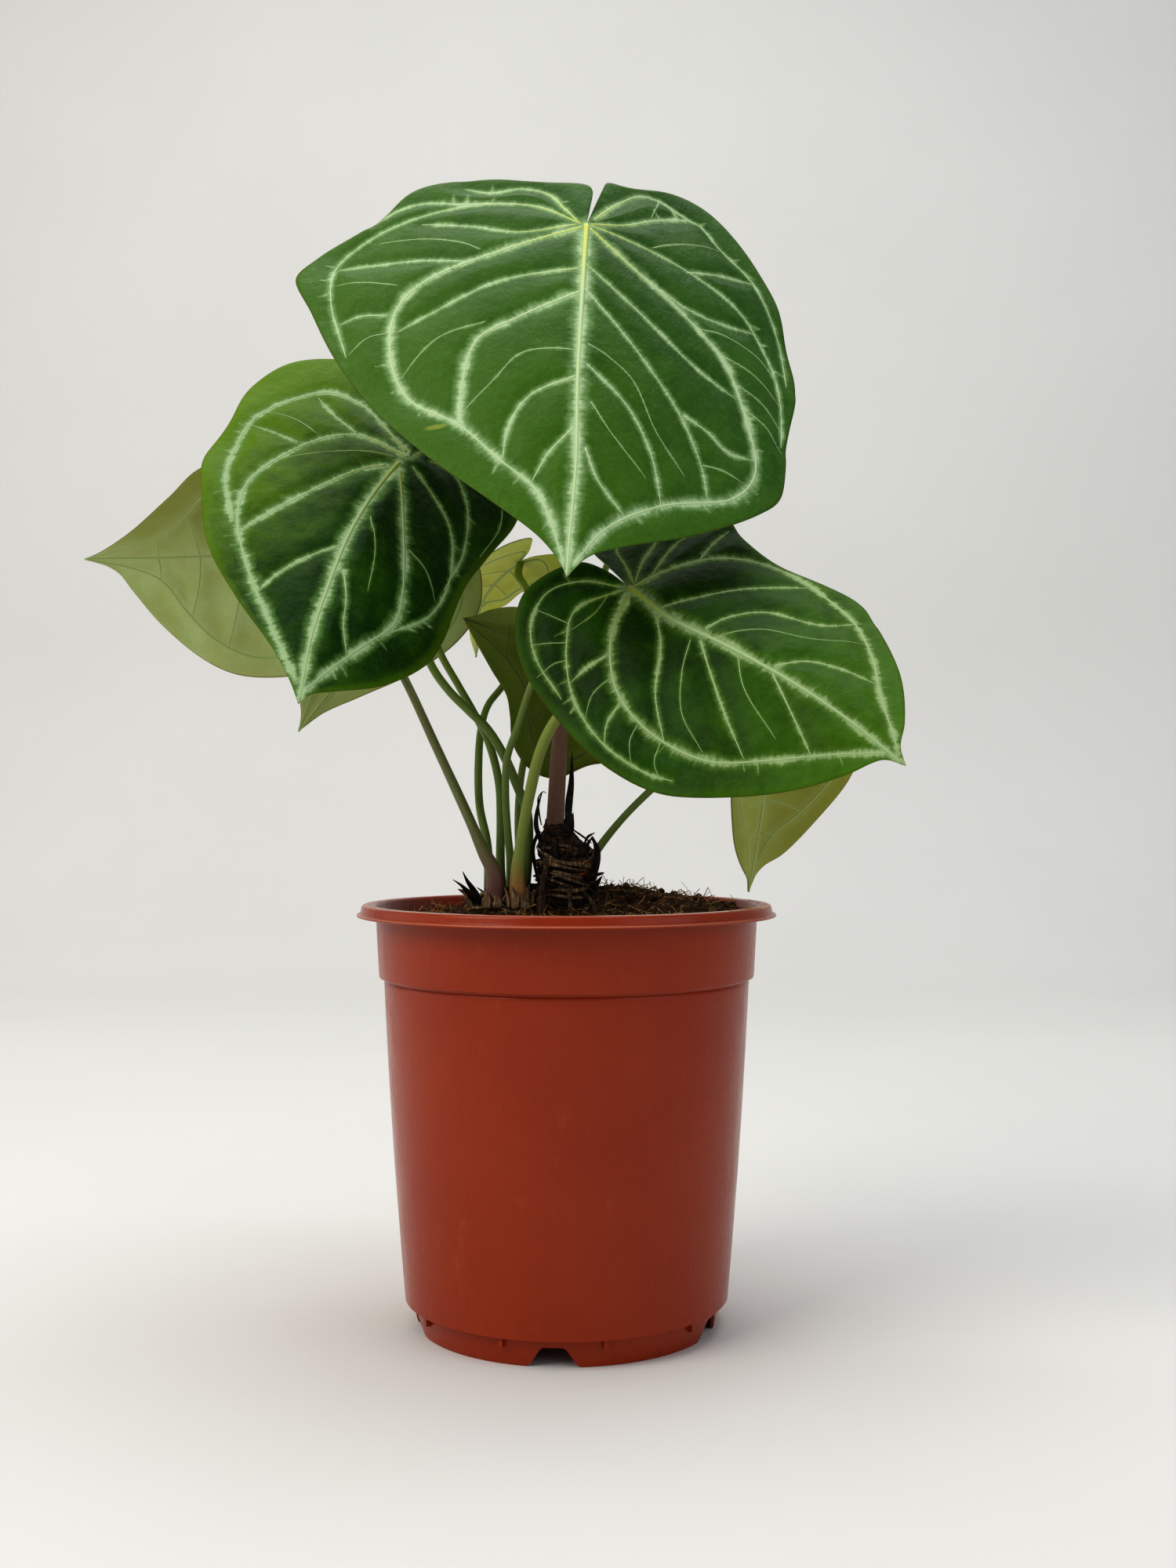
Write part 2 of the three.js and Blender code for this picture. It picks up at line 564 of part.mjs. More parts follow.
const stalksIn = (names, swell) => LEAVES.filter(({ name }) => names.includes(name)).map((leaf) => stalk(leaf, swell));
const roots = (swell) => ROOTS.map(({ path, radii }) => taperedTube(path, radii, 6, 5, swell));
const sheaths = (swell) => SHEATHS.map((piece) => sheath(piece, swell));
const shootStalks = ['left', 'right', 'far_left', 'under_left', 'back_centre', 'low_centre', 'back_right'];

const knob = cutAway(standing(KNOB, KNOB_AXIS), [
  ...stalksIn(['tall', 'low_right', 'left', 'low_centre'], GAP),
  ...roots(GAP),
  ...sheaths(GAP),
]);
const shoot = cutAway(standing(SHOOT, SHOOT_AXIS), [
  ...stalksIn(shootStalks, GAP),
  standing(KNOB, KNOB_AXIS, GAP),
  ...sheaths(GAP),
]);
const bed = cutAway(soil(), [
  standing(KNOB, KNOB_AXIS, GAP),
  standing(SHOOT, SHOOT_AXIS, GAP),
  ...stalksIn([...shootStalks, 'low_right'], GAP),
  ...roots(GAP),
  ...sheaths(GAP),
]);

addPiece('pot', pot(), finish(COLOUR.pot, 0.42));
addPiece('soil', bed, finish(COLOUR.soil, 0.95));
addPiece('stem_knob', knob, finish(COLOUR.stem, 0.85));
addPiece('side_shoot', shoot, finish(COLOUR.stem, 0.85));
LEAVES.forEach((leaf) => {
  const brown = leaf.name === 'tall';
  addPiece(`stalk_${leaf.name}`, stalk(leaf), finish(brown ? COLOUR.brownStalk : COLOUR.stalk, 0.5));
  addPiece(`leaf_${leaf.name}`, blade(leaf), finish(COLOUR.blade, 0.45));
});
sheaths(0).forEach((geometry, i) => addPiece(`dry_sheath_${i + 1}`, geometry, finish(COLOUR.sheath, 0.8)));
roots(0).forEach((geometry, i) => addPiece(`aerial_root_${i + 1}`, geometry, finish(COLOUR.root, 0.8)));

export default group;
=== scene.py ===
"""Potted silver blush anthurium: the looks of its leaves, stalks, stem, soil and pot.

Shapes are worked out in millimetres from the pot's axis at the level the pot stands on, +Z up, front
towards -Y, and piece() puts them into the part's frame in metres.
"""
import math

import bpy
import numpy as np
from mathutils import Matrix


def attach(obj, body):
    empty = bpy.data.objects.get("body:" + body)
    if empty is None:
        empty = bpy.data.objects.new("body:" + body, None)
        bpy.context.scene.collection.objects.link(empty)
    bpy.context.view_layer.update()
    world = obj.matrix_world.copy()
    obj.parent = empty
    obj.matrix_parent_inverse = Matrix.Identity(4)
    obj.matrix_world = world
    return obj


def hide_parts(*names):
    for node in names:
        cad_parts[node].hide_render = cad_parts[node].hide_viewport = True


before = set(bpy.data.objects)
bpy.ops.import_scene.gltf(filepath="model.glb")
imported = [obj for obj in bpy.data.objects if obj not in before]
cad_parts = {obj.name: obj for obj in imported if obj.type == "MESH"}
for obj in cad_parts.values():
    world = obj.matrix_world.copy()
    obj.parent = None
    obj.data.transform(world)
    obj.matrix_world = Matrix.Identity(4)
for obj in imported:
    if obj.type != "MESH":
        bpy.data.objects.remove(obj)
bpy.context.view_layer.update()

MM = 0.001
POT_AXIS = np.array([51.0, -13.0, 0.0])
EYE = np.array([10.2, -808.0, 245.0])      # where the photograph was taken from, mm from the pot's axis
TILT_UP = 0.76                             # degrees
LENS, FRAME_HEIGHT = 38.6, 36              # mm
SPAN_POINTS = 20                           # worked out between two given points of a curve
SAME_PLACE_DECIMALS = 4                    # of a mm: points that agree so far are one
UP = np.array([0, 0, 1.0])


# ---------------------------------------------------------------- lines, grids and noise

def spline(points, step):
    """Centripetal Catmull-Rom curve through the points, laid out again at equal steps of its length."""
    p = np.asarray(points, float)
    p = np.vstack([2 * p[0] - p[1], p, 2 * p[-1] - p[-2]])
    knot = np.concatenate([[0], np.cumsum(np.linalg.norm(np.diff(p, axis=0), axis=1) ** 0.5)])

    def blend(t, a, b, k, m):
        return ((knot[m] - t) * a + (t - knot[k]) * b) / (knot[m] - knot[k])

    runs = []
    for i in range(1, len(p) - 2):
        t = np.linspace(knot[i], knot[i + 1], SPAN_POINTS)[:, None]
        lines = [blend(t, p[k], p[k + 1], k, k + 1) for k in (i - 1, i, i + 1)]
        curves = [blend(t, lines[n], lines[n + 1], i - 1 + n, i + 1 + n) for n in (0, 1)]
        runs.append(blend(t, *curves, i, i + 1)[:None if i == len(p) - 3 else -1])
    line = np.vstack(runs)
    length = np.concatenate([[0], np.cumsum(np.linalg.norm(np.diff(line, axis=0), axis=1))])
    place = np.linspace(0, length[-1], max(2, int(round(length[-1] / step)) + 1))
    return np.stack([np.interp(place, length, column) for column in line.T], axis=1)


def noise(points, size, seed):
    """Smooth noise from 0 to 1: a random value at each corner of a lattice of that size in mm, blended across
    each cell by 3 f squared - 2 f cubed."""
    q = np.asarray(points, float) / size
    cell = np.floor(q).astype(int)
    f = q - cell
    f = f * f * (3 - 2 * f)
    table = np.random.default_rng(seed).random((32, 32, 32))
    total = 0
    for corner in np.ndindex(2, 2, 2):
        weight = np.prod(np.where(corner, f, 1 - f), axis=-1)
        i, j, k = np.moveaxis((cell + corner) % 32, -1, 0)
        total = total + weight * table[i, j, k]
    return total


def grid_faces(rows, columns, around=False):
    """Four-cornered faces of a grid of points, row after row, joined round its columns if it goes round."""
    row, column = np.indices((rows - 1, columns if around else columns - 1))
    a, b = row * columns + column, row * columns + (column + 1) % columns
    return np.stack([a, b, b + columns, a + columns], axis=-1).reshape(-1, 4)


def circle(count):
    """That many angles at equal steps all the way round."""
    return np.linspace(0, 2 * np.pi, count, endpoint=False)


def turned_points(radius, height, turn):
    """Points of a turned shape: radius cos a, radius sin a, height."""
    return np.stack(np.broadcast_arrays(radius * np.cos(turn), radius * np.sin(turn), height), axis=-1)


def tube(path, radius, sides, lift, flat=1.0):
    """A closed tube: centre + radius (cos a across + flat sin a up), where across is square to the path and
    to lift, and the first and the last ring shrink to a point."""
    path = np.vstack([path[:1], path, path[-1:]])
    radius = np.concatenate([[0], np.broadcast_to(radius, len(path) - 2), [0]])[:, None, None]
    ahead = np.gradient(path, axis=0)
    ahead[0], ahead[-1] = ahead[1], ahead[-2]
    ahead /= np.linalg.norm(ahead, axis=1, keepdims=True)
    lift = np.asarray(lift, float)
    if lift.ndim > 1:
        lift = np.vstack([lift[:1], lift, lift[-1:]])
    across = np.cross(ahead, np.broadcast_to(lift, ahead.shape))
    across /= np.linalg.norm(across, axis=1, keepdims=True)
    up = np.cross(across, ahead)
    turn = circle(sides)[None, :, None]
    ring = path[:, None] + radius * (np.cos(turn) * across[:, None] + flat * np.sin(turn) * up[:, None])
    return ring.reshape(-1, 3), grid_faces(len(path), sides, around=True)[:, ::-1]


def together(parts):
    """Joins (points, faces) pairs into one pair."""
    points, faces = zip(*parts)
    start = np.cumsum([0] + [len(each) for each in points[:-1]])
    return np.vstack(points), np.vstack([each + first for each, first in zip(faces, start)])


def sampled(values, count):
    """A list of values laid out again at that many equal steps, blended evenly between one and the next."""
    return np.interp(np.linspace(0, 1, count), np.linspace(0, 1, len(values)), values)


# ---------------------------------------------------------------- pieces and finishes

def piece(name, points, faces, materials, slot, nodes=(), marks=None, sides=None, crease=None):
    """A mesh piece of the plant from points in mm and four-cornered faces. Points that coincide become one,
    and faces that shrink to three corners become triangles. Marks are numbers or vectors kept at each point,
    sides says which of the materials each face has, and edges over crease degrees stay sharp."""
    _, first, which = np.unique(np.round(points, SAME_PLACE_DECIMALS), axis=0, return_index=True,
                                return_inverse=True)
    faces = which.reshape(-1)[faces]
    sides = np.zeros(len(faces), int) if sides is None else sides
    same = faces == np.roll(faces, -1, axis=1)
    whole, thin = same.sum(axis=1) == 0, same.sum(axis=1) == 1
    corners = faces[thin][~same[thin]].reshape(-1, 3)
    mesh = bpy.data.meshes.new(name)
    mesh.from_pydata(((points[first] + POT_AXIS) * MM).tolist(), [], faces[whole].tolist() + corners.tolist())
    mesh.polygons.foreach_set("material_index", np.concatenate([sides[whole], sides[thin]]).astype(np.int32))
    mesh.shade_smooth()
    if crease:
        mesh.set_sharp_from_angle(angle=math.radians(crease))
    for mark, values in (marks or {}).items():
        values = np.asarray(values, np.float32)[first]
        kind, field = ("FLOAT", "value") if values.ndim == 1 else ("FLOAT_VECTOR", "vector")
        mesh.attributes.new(mark, kind, "POINT").data.foreach_set(field, values.ravel())
    obj = bpy.data.objects.new(name, mesh)
    bpy.context.scene.collection.objects.link(obj)
    for each in materials:
        mesh.materials.append(each)
    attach(obj, "root")
    if nodes:
        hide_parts(*nodes)
    return obj


def colour(code):
    """A linear colour from its sRGB hex value."""
    part = np.array([int(code[i:i + 2], 16) for i in (1, 3, 5)]) / 255
    return (*np.where(part <= 0.04045, part / 12.92, ((part + 0.055) / 1.055) ** 2.4), 1.0)


def add(made, kind, output, inputs, **settings):
    """Adds a node with its settings and links to a material, and gives back one of its outputs."""
    node = made.node_tree.nodes.new("ShaderNode" + kind)
    for name, value in settings.items():
        setattr(node, name, value)
    for socket, value in inputs.items():
        if isinstance(value, bpy.types.NodeSocket):
            made.node_tree.links.new(value, node.inputs[socket])
        else:
            node.inputs[socket].default_value = value
    return node.outputs[output]


def bare(name):
    """A new material that has only its shader."""
    made = bpy.data.materials.new(name)
    made.use_nodes = True
    return made


def pattern(made, source):
    """What drives a layer or a dent: a socket, the name of a mark, or (size, stretch x, y, z) for noise on
    the piece's own place, with spots that many mm across."""
    if isinstance(source, bpy.types.NodeSocket):
        return source
    if isinstance(source, str):
        return add(made, "Attribute", "Fac", {}, attribute_name=source)
    size, *stretch = source
    place = add(made, "TexCoord", "Object", {})
    place = add(made, "Mapping", "Vector", {"Vector": place, "Scale": stretch or (1, 1, 1)})
    return add(made, "TexNoise", "Fac",
               {"Vector": place, "Scale": 1 / (size * MM), "Detail": 4.0, "Roughness": 0.6})


def finish(made, base, layers, rough, dents, **settings):
    """Completes a material. Each layer (pattern, low, high, most, colour) covers the base up to the share
    most as its pattern goes from low to high, rough is a number or (pattern, low, high, first, last), and
    each dent is (pattern, depth in mm). The settings are constants of the shader."""
    shader = made.node_tree.nodes["Principled BSDF"]
    links = made.node_tree.links
    tone = colour(base)
    for source, low, high, most, code in layers:
        share = add(made, "MapRange", "Result", {"Value": pattern(made, source), "From Min": low,
                                                 "From Max": high, "To Min": 0.0, "To Max": most},
                    interpolation_type="SMOOTHSTEP")
        tone = add(made, "Mix", 2, {0: share, 6: tone, 7: colour(code)}, data_type="RGBA")
    links.new(tone, shader.inputs["Base Color"])
    if isinstance(rough, tuple):
        source, low, high, first, last = rough
        links.new(add(made, "MapRange", "Result", {"Value": pattern(made, source), "From Min": low,
                                                   "From Max": high, "To Min": first, "To Max": last}),
                  shader.inputs["Roughness"])
    else:
        shader.inputs["Roughness"].default_value = rough
    before = {}
    for source, depth in dents:
        height = pattern(made, source)
        before = {"Normal": add(made, "Bump", "Normal", {"Height": height, "Distance": depth * MM, **before})}
    links.new(before["Normal"], shader.inputs["Normal"])
    for socket, value in settings.items():
        shader.inputs[socket.replace("_", " ")].default_value = value
    return made


SCAR_YELLOW, PALE_SPECK, EDGE_BROWN, EDGE_OLIVE = "#7c8a2c", "#a9b878", "#5a4a22", "#5a5a24"
CELL_NET = 5                               # mm between the finest veins
UP_FIBRES = (3, 1, 1, 0.12)                # spots drawn out along a stalk
SCUFFS = (5, 0.6, 0.6, 0.25)               # broad upright streaks on the pot


def leaf_upper_skin(name, deep, mid, painted_light_colour, silver, halo, shine):
    """Upper skin of a living leaf: thick and waxy, so dark green panels with a soft broad shine, and matter
    bands of silvery, air-filled cells, which swell and thin out and whose edges feather out in streaks square
    to the vein. It is painted yellower where the light falls on it, as painted light, and its edge is painted
    lighter, a painted glow of light through the thin margin, with a brown line."""
    made = bare(name)
    along = add(made, "Attribute", "Vector", {}, attribute_name="streak")
    along = add(made, "Mapping", "Vector", {"Vector": along, "Scale": (0.6, 0.16, 7.0)})
    hairs = add(made, "TexNoise", "Fac", {"Vector": along, "Scale": 1.0, "Detail": 5.0, "Roughness": 0.7})
    clumps = pattern(made, (10,))
    ragged = add(made, "Math", 0, {0: hairs, 1: 1.3, 2: pattern(made, "band")}, operation="MULTIPLY_ADD")
    ragged = add(made, "Math", 0, {0: clumps, 1: 1.6, 2: ragged}, operation="MULTIPLY_ADD")
    # painted light: a mask of the side of the blade that the light falls on, broken up by clumps
    painted_light_mask = add(made, "Math", 0, {0: clumps, 1: 0.8, 2: pattern(made, "sun")}, operation="MULTIPLY_ADD")
    place = add(made, "TexCoord", "Object", {})
    net = add(made, "TexVoronoi", "Distance", {"Vector": place, "Scale": 1 / (CELL_NET * MM)},
              feature="DISTANCE_TO_EDGE")
    return finish(made, deep, [
        ((30,), 0.38, 0.66, 0.8, mid),
        # painted light: the lit side is painted yellower
        (painted_light_mask, 0.3, 1.4, 0.9, painted_light_colour),
        ((1.6,), 0.45, 0.8, 0.2, mid),
        # painted glow: the edge is painted lighter, as light shining through the thin margin
        ("margin", 7.0, 0.0, 0.4, painted_light_colour),
        (net, 0.07, 0.0, 0.06, halo),
        (ragged, 0.95, 1.95, 0.65, halo),
        (ragged, 1.65, 2.4, 0.9, silver),
        ("scar", 0.3, 0.7, 0.9, SCAR_YELLOW),
        ((0.8,), 0.74, 0.8, 0.35, PALE_SPECK),
        ("margin", 0.9, 0.2, 0.35, EDGE_BROWN),
    ], (ragged, 1.2, 2.3, 0.44, 0.6), [((0.7,), 0.05), ((7,), 0.8)], IOR=1.45, Specular_IOR_Level=shine)


def leaf_underside(name, pale, mid, painted_light_colour, vein):
    """Underside of a living leaf: matt, paler and a little translucent, and paler still along its veins."""
    return finish(bare(name), pale, [
        ((24,), 0.35, 0.65, 0.6, mid),
        # painted light: lighter and yellower where the light falls on it
        ("sun", 0.0, 1.0, 0.8, painted_light_colour),
        ((1.8,), 0.4, 0.8, 0.25, mid),
        ("band", -0.6, 0.9, 0.22, vein),
        ("margin", 1.2, 0.2, 0.6, EDGE_OLIVE),
    ], 0.55, [((0.8,), 0.05), ((6,), 0.3)], IOR=1.42, Specular_IOR_Level=0.3, Subsurface_Weight=0.12,
        Subsurface_Scale=0.003)


def leaf_rib(name, near, far):
    """Rib of a living leaf: smooth and waxy, most yellow at the joint and paler towards the tip."""
    return finish(bare(name), near, [
        ("reach", 0.0, 0.28, 1.0, far),
        ((2.5,), 0.4, 0.7, 0.15, near),
    ], 0.42, [((0.6,), 0.03)], IOR=1.45, Specular_IOR_Level=0.4)


def stalk_skin(name, foot, middle, top, rise):
    """Skin of a living stalk: round, smooth and satin, browner at the foot up to the share rise of its
    length, with fine pale flecks lengthwise."""
    return finish(bare(name), foot, [
        ("reach", 0.02, rise, 1.0, middle),
        ("reach", 0.5, 0.97, 1.0, top),
        (UP_FIBRES, 0.4, 0.75, 0.25, foot),
        ((0.9, 1, 1, 0.4), 0.62, 0.72, 0.35, "#8d9468"),
    ], (UP_FIBRES, 0.2, 0.8, 0.34, 0.5), [(UP_FIBRES, 0.12)], IOR=1.45, Specular_IOR_Level=0.3)


def dry_tissue(name, dark, light, worn, size):
    """Dead plant tissue, such as old sheaths, bark and roots: matt brown fibres of that size in mm that run
    up it, some worn pale, with an orange patch where a mark says so."""
    return finish(bare(name), dark, [
        ((size, 1, 1, 0.25), 0.42, 0.72, 0.9, light),
        ((size * 2.5, 0.3, 0.3, 1.4), 0.52, 0.68, 0.8, dark),
        ((size * 5,), 0.58, 0.7, 0.5, worn),
        ("patch", 0.3, 0.8, 0.85, "#9a5218"),
    ], 0.78, [((size, 1, 1, 0.25), 0.5)], IOR=1.4, Specular_IOR_Level=0.25)


def damp_coir(name):
    """Damp potting mix of coir and peat: matt, nearly black crumbs with tan fibres, so it hardly shines."""
    return finish(bare(name), "#20150d", [
        ((3.0,), 0.35, 0.7, 1.0, "#4a3420"),
        ((1.2, 1, 0.25, 1), 0.6, 0.75, 0.6, "#7a5a38"),
    ], 0.95, [((3.0,), 1.2)], IOR=1.35, Specular_IOR_Level=0.12)


def loose_coir(name):
    """Loose coir strands and crumbs: dry and matt, each its own shade from dark brown to tan."""
    return finish(bare(name), "#2a1b10", [
        ("shade", 0.15, 0.9, 1.0, "#ab8352"),
        ((1.5,), 0.4, 0.7, 0.4, "#3a2817"),
    ], 0.9, [((0.8,), 0.2)], IOR=1.4, Specular_IOR_Level=0.2)


def moulded_polypropylene(name):
    """Injection-moulded polypropylene: even terracotta red with a satin shine and faint scuffs, and a pale
    painted highlight along the top edges of the fin and the rim.
    """
    return finish(bare(name), "#8a2a05", [
        ((60,), 0.3, 0.7, 0.6, "#92320a"),
        (SCUFFS, 0.6, 0.8, 0.25, "#a85a3c"),
        # painted highlight: a pale line along the top edges of the fin and the rim
        ("wear", 0.3, 1.0, 0.6, "#cc8468"),
    ], (SCUFFS, 0.4, 0.8, 0.22, 0.36), [((1.0,), 0.012), ((60,), 0.4)], IOR=1.49, Specular_IOR_Level=0.27)


# ---------------------------------------------------------------- leaves

# Each blade is a sheet drawn flat, u to its right and v from the stalk's joint to the tip, and then bent.
# Millimetres and degrees, as in the solid part, but for the start of the tall leaf's right lobe, which leaves
# a wider cut between the lobes. Edges run from the joint round the lobe to the tip. One entry gives painted
# light: where a blade is painted lighter and yellower, as on the side the light falls on, by a direction over
# it in u and v, and where that starts and ends. scar is the place of a small yellow scar.
LEAVES = {
    "tall": dict(
        joint=(9.5, -10, 522.3), heading=-92, pitch=55, bend=15, back=18, roll=-11,
        length=205, half=130, fold=(12, 14), curl=(8, 12),
        sun=(-0.6, 0.5, -20, 120), scar=(-64, 127),
        edges=(
            [(0, 0), (1, -14), (1, -29), (-18, -34), (-52, -40), (-84, -37), (-104, -12), (-130, 8),
             (-139, 22), (-128, 51), (-113, 84), (-92, 116), (-67, 143), (-40, 166), (-16, 187), (-8, 198),
             (-5, 205)],
            [(0, 0), (6, -10), (9, -24), (9, -38), (20, -43), (48, -57), (66, -57), (84, -43), (103, -15),
             (113, 23), (116, 60), (108, 99), (104, 131), (90, 147), (56, 170), (21, 186), (5, 194),
             (-5, 205)]),
        stalk=[(-6, 0, 231), (-5, -1, 248), (-3, -8, 281), (-1, -19, 308), (1, -28, 333), (3, -25, 352),
               (5, -11, 389), (8, 6, 445), (9.5, 9, 485), (9.5, 3, 508)],
        radii=(4.5, 3.5, 3.1, 3, 3, 2.9, 2.8)),
    "left": dict(
        joint=(-76.1, -10, 409.6), heading=-109, pitch=45, bend=10, back=5, roll=-22,
        length=165, half=90, fold=(4, 24), curl=(8, 20),
        sun=(-0.95, -0.3, -10, 100),
        edges=(
            [(0, 0), (0, -14), (-7, -38), (-19, -58), (-36, -69), (-57, -73), (-80, -65), (-94, -42),
             (-93, -10), (-94, 20), (-84, 48), (-68, 81), (-43, 111), (-21, 133), (-8, 149), (-1, 160)],
            [(0, 0), (0, -14), (4, -36), (14, -57), (32, -66), (52, -54), (62, -20), (56, 22), (51, 50),
             (50, 90), (46, 108), (30, 132), (10, 148), (3, 153), (-1, 160)]),
        stalk=[(-21, 6, 199), (-19, 6, 220), (-19, 5, 241), (-24, 2, 255), (-30, -2, 269), (-38, -5, 282),
               (-47, -6, 291), (-56, -6, 300), (-65, -5, 313), (-72, -2, 335), (-77, 2, 369),
               (-79, 2, 393)],
        radii=(3.2, 2.6, 2.5, 2.4, 2.3, 2.2)),
    "right": dict(
        joint=(28.9, -50, 343.8), heading=-31, pitch=27, bend=4, back=8, roll=44,
        length=150, half=80, fold=(13, 6), curl=(18, 10),
        sun=(0.35, 0.9, 30, 150),
        edges=(
            [(0, 0), (2, -16), (0, -28), (-9, -37), (-26, -43), (-45, -34), (-60, -15), (-72, 18),
             (-77, 48), (-74, 76), (-59, 104), (-42, 126), (-26, 139), (-12, 147), (-9, 156)],
            [(0, 0), (5, -14), (9, -29), (24, -44), (48, -46), (68, -26), (74, 0), (66, 16), (61, 40),
             (62, 80), (52, 98), (32, 124), (8, 143), (-3, 149), (-9, 156)]),
        stalk=[(-27, -3, 199), (-27, -4, 219), (-28, -6, 232), (-29, -9, 252), (-28, -13, 268),
               (-23, -18, 282), (-16, -25, 302), (-7, -34, 319), (4, -39, 330), (17, -42, 336)],
        radii=(2.4, 1.9, 1.8, 1.8, 1.8, 1.8)),
    "far_left": dict(
        joint=(-134.7, 80, 381), heading=182, pitch=3, bend=4, back=10, roll=50,
        length=120, half=72, fold=(10, 10), curl=(10, 10),
        sun=(1, 0, -10, 35),
        edges=(
            [(0, 0), (-5, -20), (-20, -36), (-42, -34), (-62, -12), (-71, 20), (-69, 48), (-58, 68),
             (-37, 87), (-16, 99), (-4, 105), (6, 119)],
            [(0, 0), (5, -20), (20, -36), (42, -32), (60, -10), (66, 16), (61, 46), (41, 68), (20, 92),
             (10, 109), (6, 119)]),
        stalk=[(-34, -13, 200), (-34, -13, 213), (-39, -10, 223), (-49.5, -1, 245), (-65.2, 24, 275),
               (-84, 50, 311), (-102, 60, 341), (-122, 67, 364)],
        radii=(4.6, 2.5, 2.2, 2.2, 2.2, 2.1, 2)),
    "under_left": dict(
        joint=(-80.5, 38, 366.7), heading=186, pitch=60, bend=2, back=5, roll=75,
        length=105, half=60, fold=(8, 8), curl=(10, 10),
        sun=(1, 0, -40, 40),
        edges=(
            [(0, 0), (-4, -18), (-16, -28), (-32, -18), (-42, 0), (-41, 20), (-30, 45), (-12, 70), (0, 86),
             (7, 100)],
            [(0, 0), (5, -20), (22, -32), (42, -20), (50, 6), (44, 34), (32, 58), (20, 78), (10, 92),
             (7, 100)]),
        stalk=[(-31, 3, 199), (-32, 3, 216), (-32, 4, 239), (-33, 5, 257), (-38, 7, 276), (-45, 8, 290),
               (-53, 10, 304), (-62, 12, 320), (-70, 16, 342)],
        radii=(3, 2.3, 2.2, 2.1, 2)),
    "back_centre": dict(
        joint=(-25.4, 80, 374.8), heading=119, pitch=10, bend=36, back=0, roll=12,
        length=100, half=50, fold=(30, 23), curl=(30, 12),
        sun=(-1, 0, -20, 20),
        edges=(
            [(0, 0), (-3, -16), (-12, -32), (-20, -26), (-20, 0), (-14, 18), (-11, 43), (-3, 60), (-2, 75),
             (-12, 89)],
            [(0, 0), (5, -20), (16, -42), (27, -40), (34, -20), (34, 8), (24, 38), (6, 66), (-4, 78),
             (-12, 89)]),
        stalk=[(-38, 12, 199), (-39, 14, 226), (-43, 18, 245), (-44, 24, 266), (-43, 32, 285),
               (-40, 37, 296), (-33, 43, 306), (-25, 52, 322), (-20, 63, 342), (-22, 73, 359)],
        radii=(2.8, 2.2, 2, 2, 1.9)),
    "low_centre": dict(
        joint=(25.7, 22, 310.2), heading=180, pitch=-18, bend=-5, back=-5, roll=65,
        length=85, half=62, fold=(10, 45), curl=(10, 10),
        sun=(1, 0, -10, 50),
        edges=(
            [(0, 0), (-4, -16), (-18, -26), (-38, -20), (-48, 0), (-60, 14), (-60, 26), (-51, 38),
             (-38, 44), (-29, 49), (-20, 60), (-8, 74), (-1, 82)],
            [(0, 0), (5, -16), (20, -26), (38, -14), (45, 12), (43, 38), (33, 57), (18, 69), (6, 76),
             (-1, 82)]),
        stalk=[(-23, -15, 200), (-23, -15, 215), (-21, -15, 231), (-17, -17, 252), (-12, -21, 271),
               (-5, -24, 285), (5, -20, 296), (15, -5, 302)],
        radii=(4.2, 2.7, 2.6, 2.6, 2.5, 2.4, 2.2)),
    "low_right": dict(
        joint=(104.5, 35, 295.5), heading=105, pitch=68, bend=8, back=8, roll=-8,
        length=100, half=55, fold=(8, 22), curl=(10, 20),
        sun=(-1, 0, -20, 40),
        edges=(
            [(0, 0), (-5, -18), (-22, -28), (-42, -14), (-49, 12), (-46, 36), (-31, 60), (-14, 80),
             (-3, 87), (5, 99)],
            [(0, 0), (5, -18), (20, -28), (36, -16), (40, 10), (30, 40), (20, 71), (12, 85), (7, 92),
             (5, 99)]),
        stalk=[(9, 14, 214), (15, 14, 224), (27, 14, 239), (41, 13, 253), (60, 9, 269), (78, 2, 281),
               (92, 6, 288), (103, 18, 291)],
        radii=(3, 2.4, 2.3, 2.2, 2.1, 2)),
    "back_right": dict(
        joint=(30.3, 55, 433.5), heading=70, pitch=25, bend=20, back=10, roll=5,
        length=105, half=52, fold=(8, 8), curl=(15, 15),
        sun=(1, 0, -20, 50),
        edges=(
            [(0, 0), (-4, -20), (-18, -34), (-38, -28), (-50, 0), (-44, 34), (-26, 66), (-9, 90), (0, 105)],
            [(0, 0), (4, -20), (18, -34), (38, -28), (50, 0), (44, 34), (26, 66), (9, 90), (0, 105)]),
        stalk=[(-22, 15, 198), (-24, 18, 236), (-24, 30, 252), (-22, 37, 268), (-14, 45, 296), (4, 52, 336),
               (20, 54, 369), (27, 52, 400)],
        radii=(2.8, 2, 2, 2, 1.9, 1.8)),
}

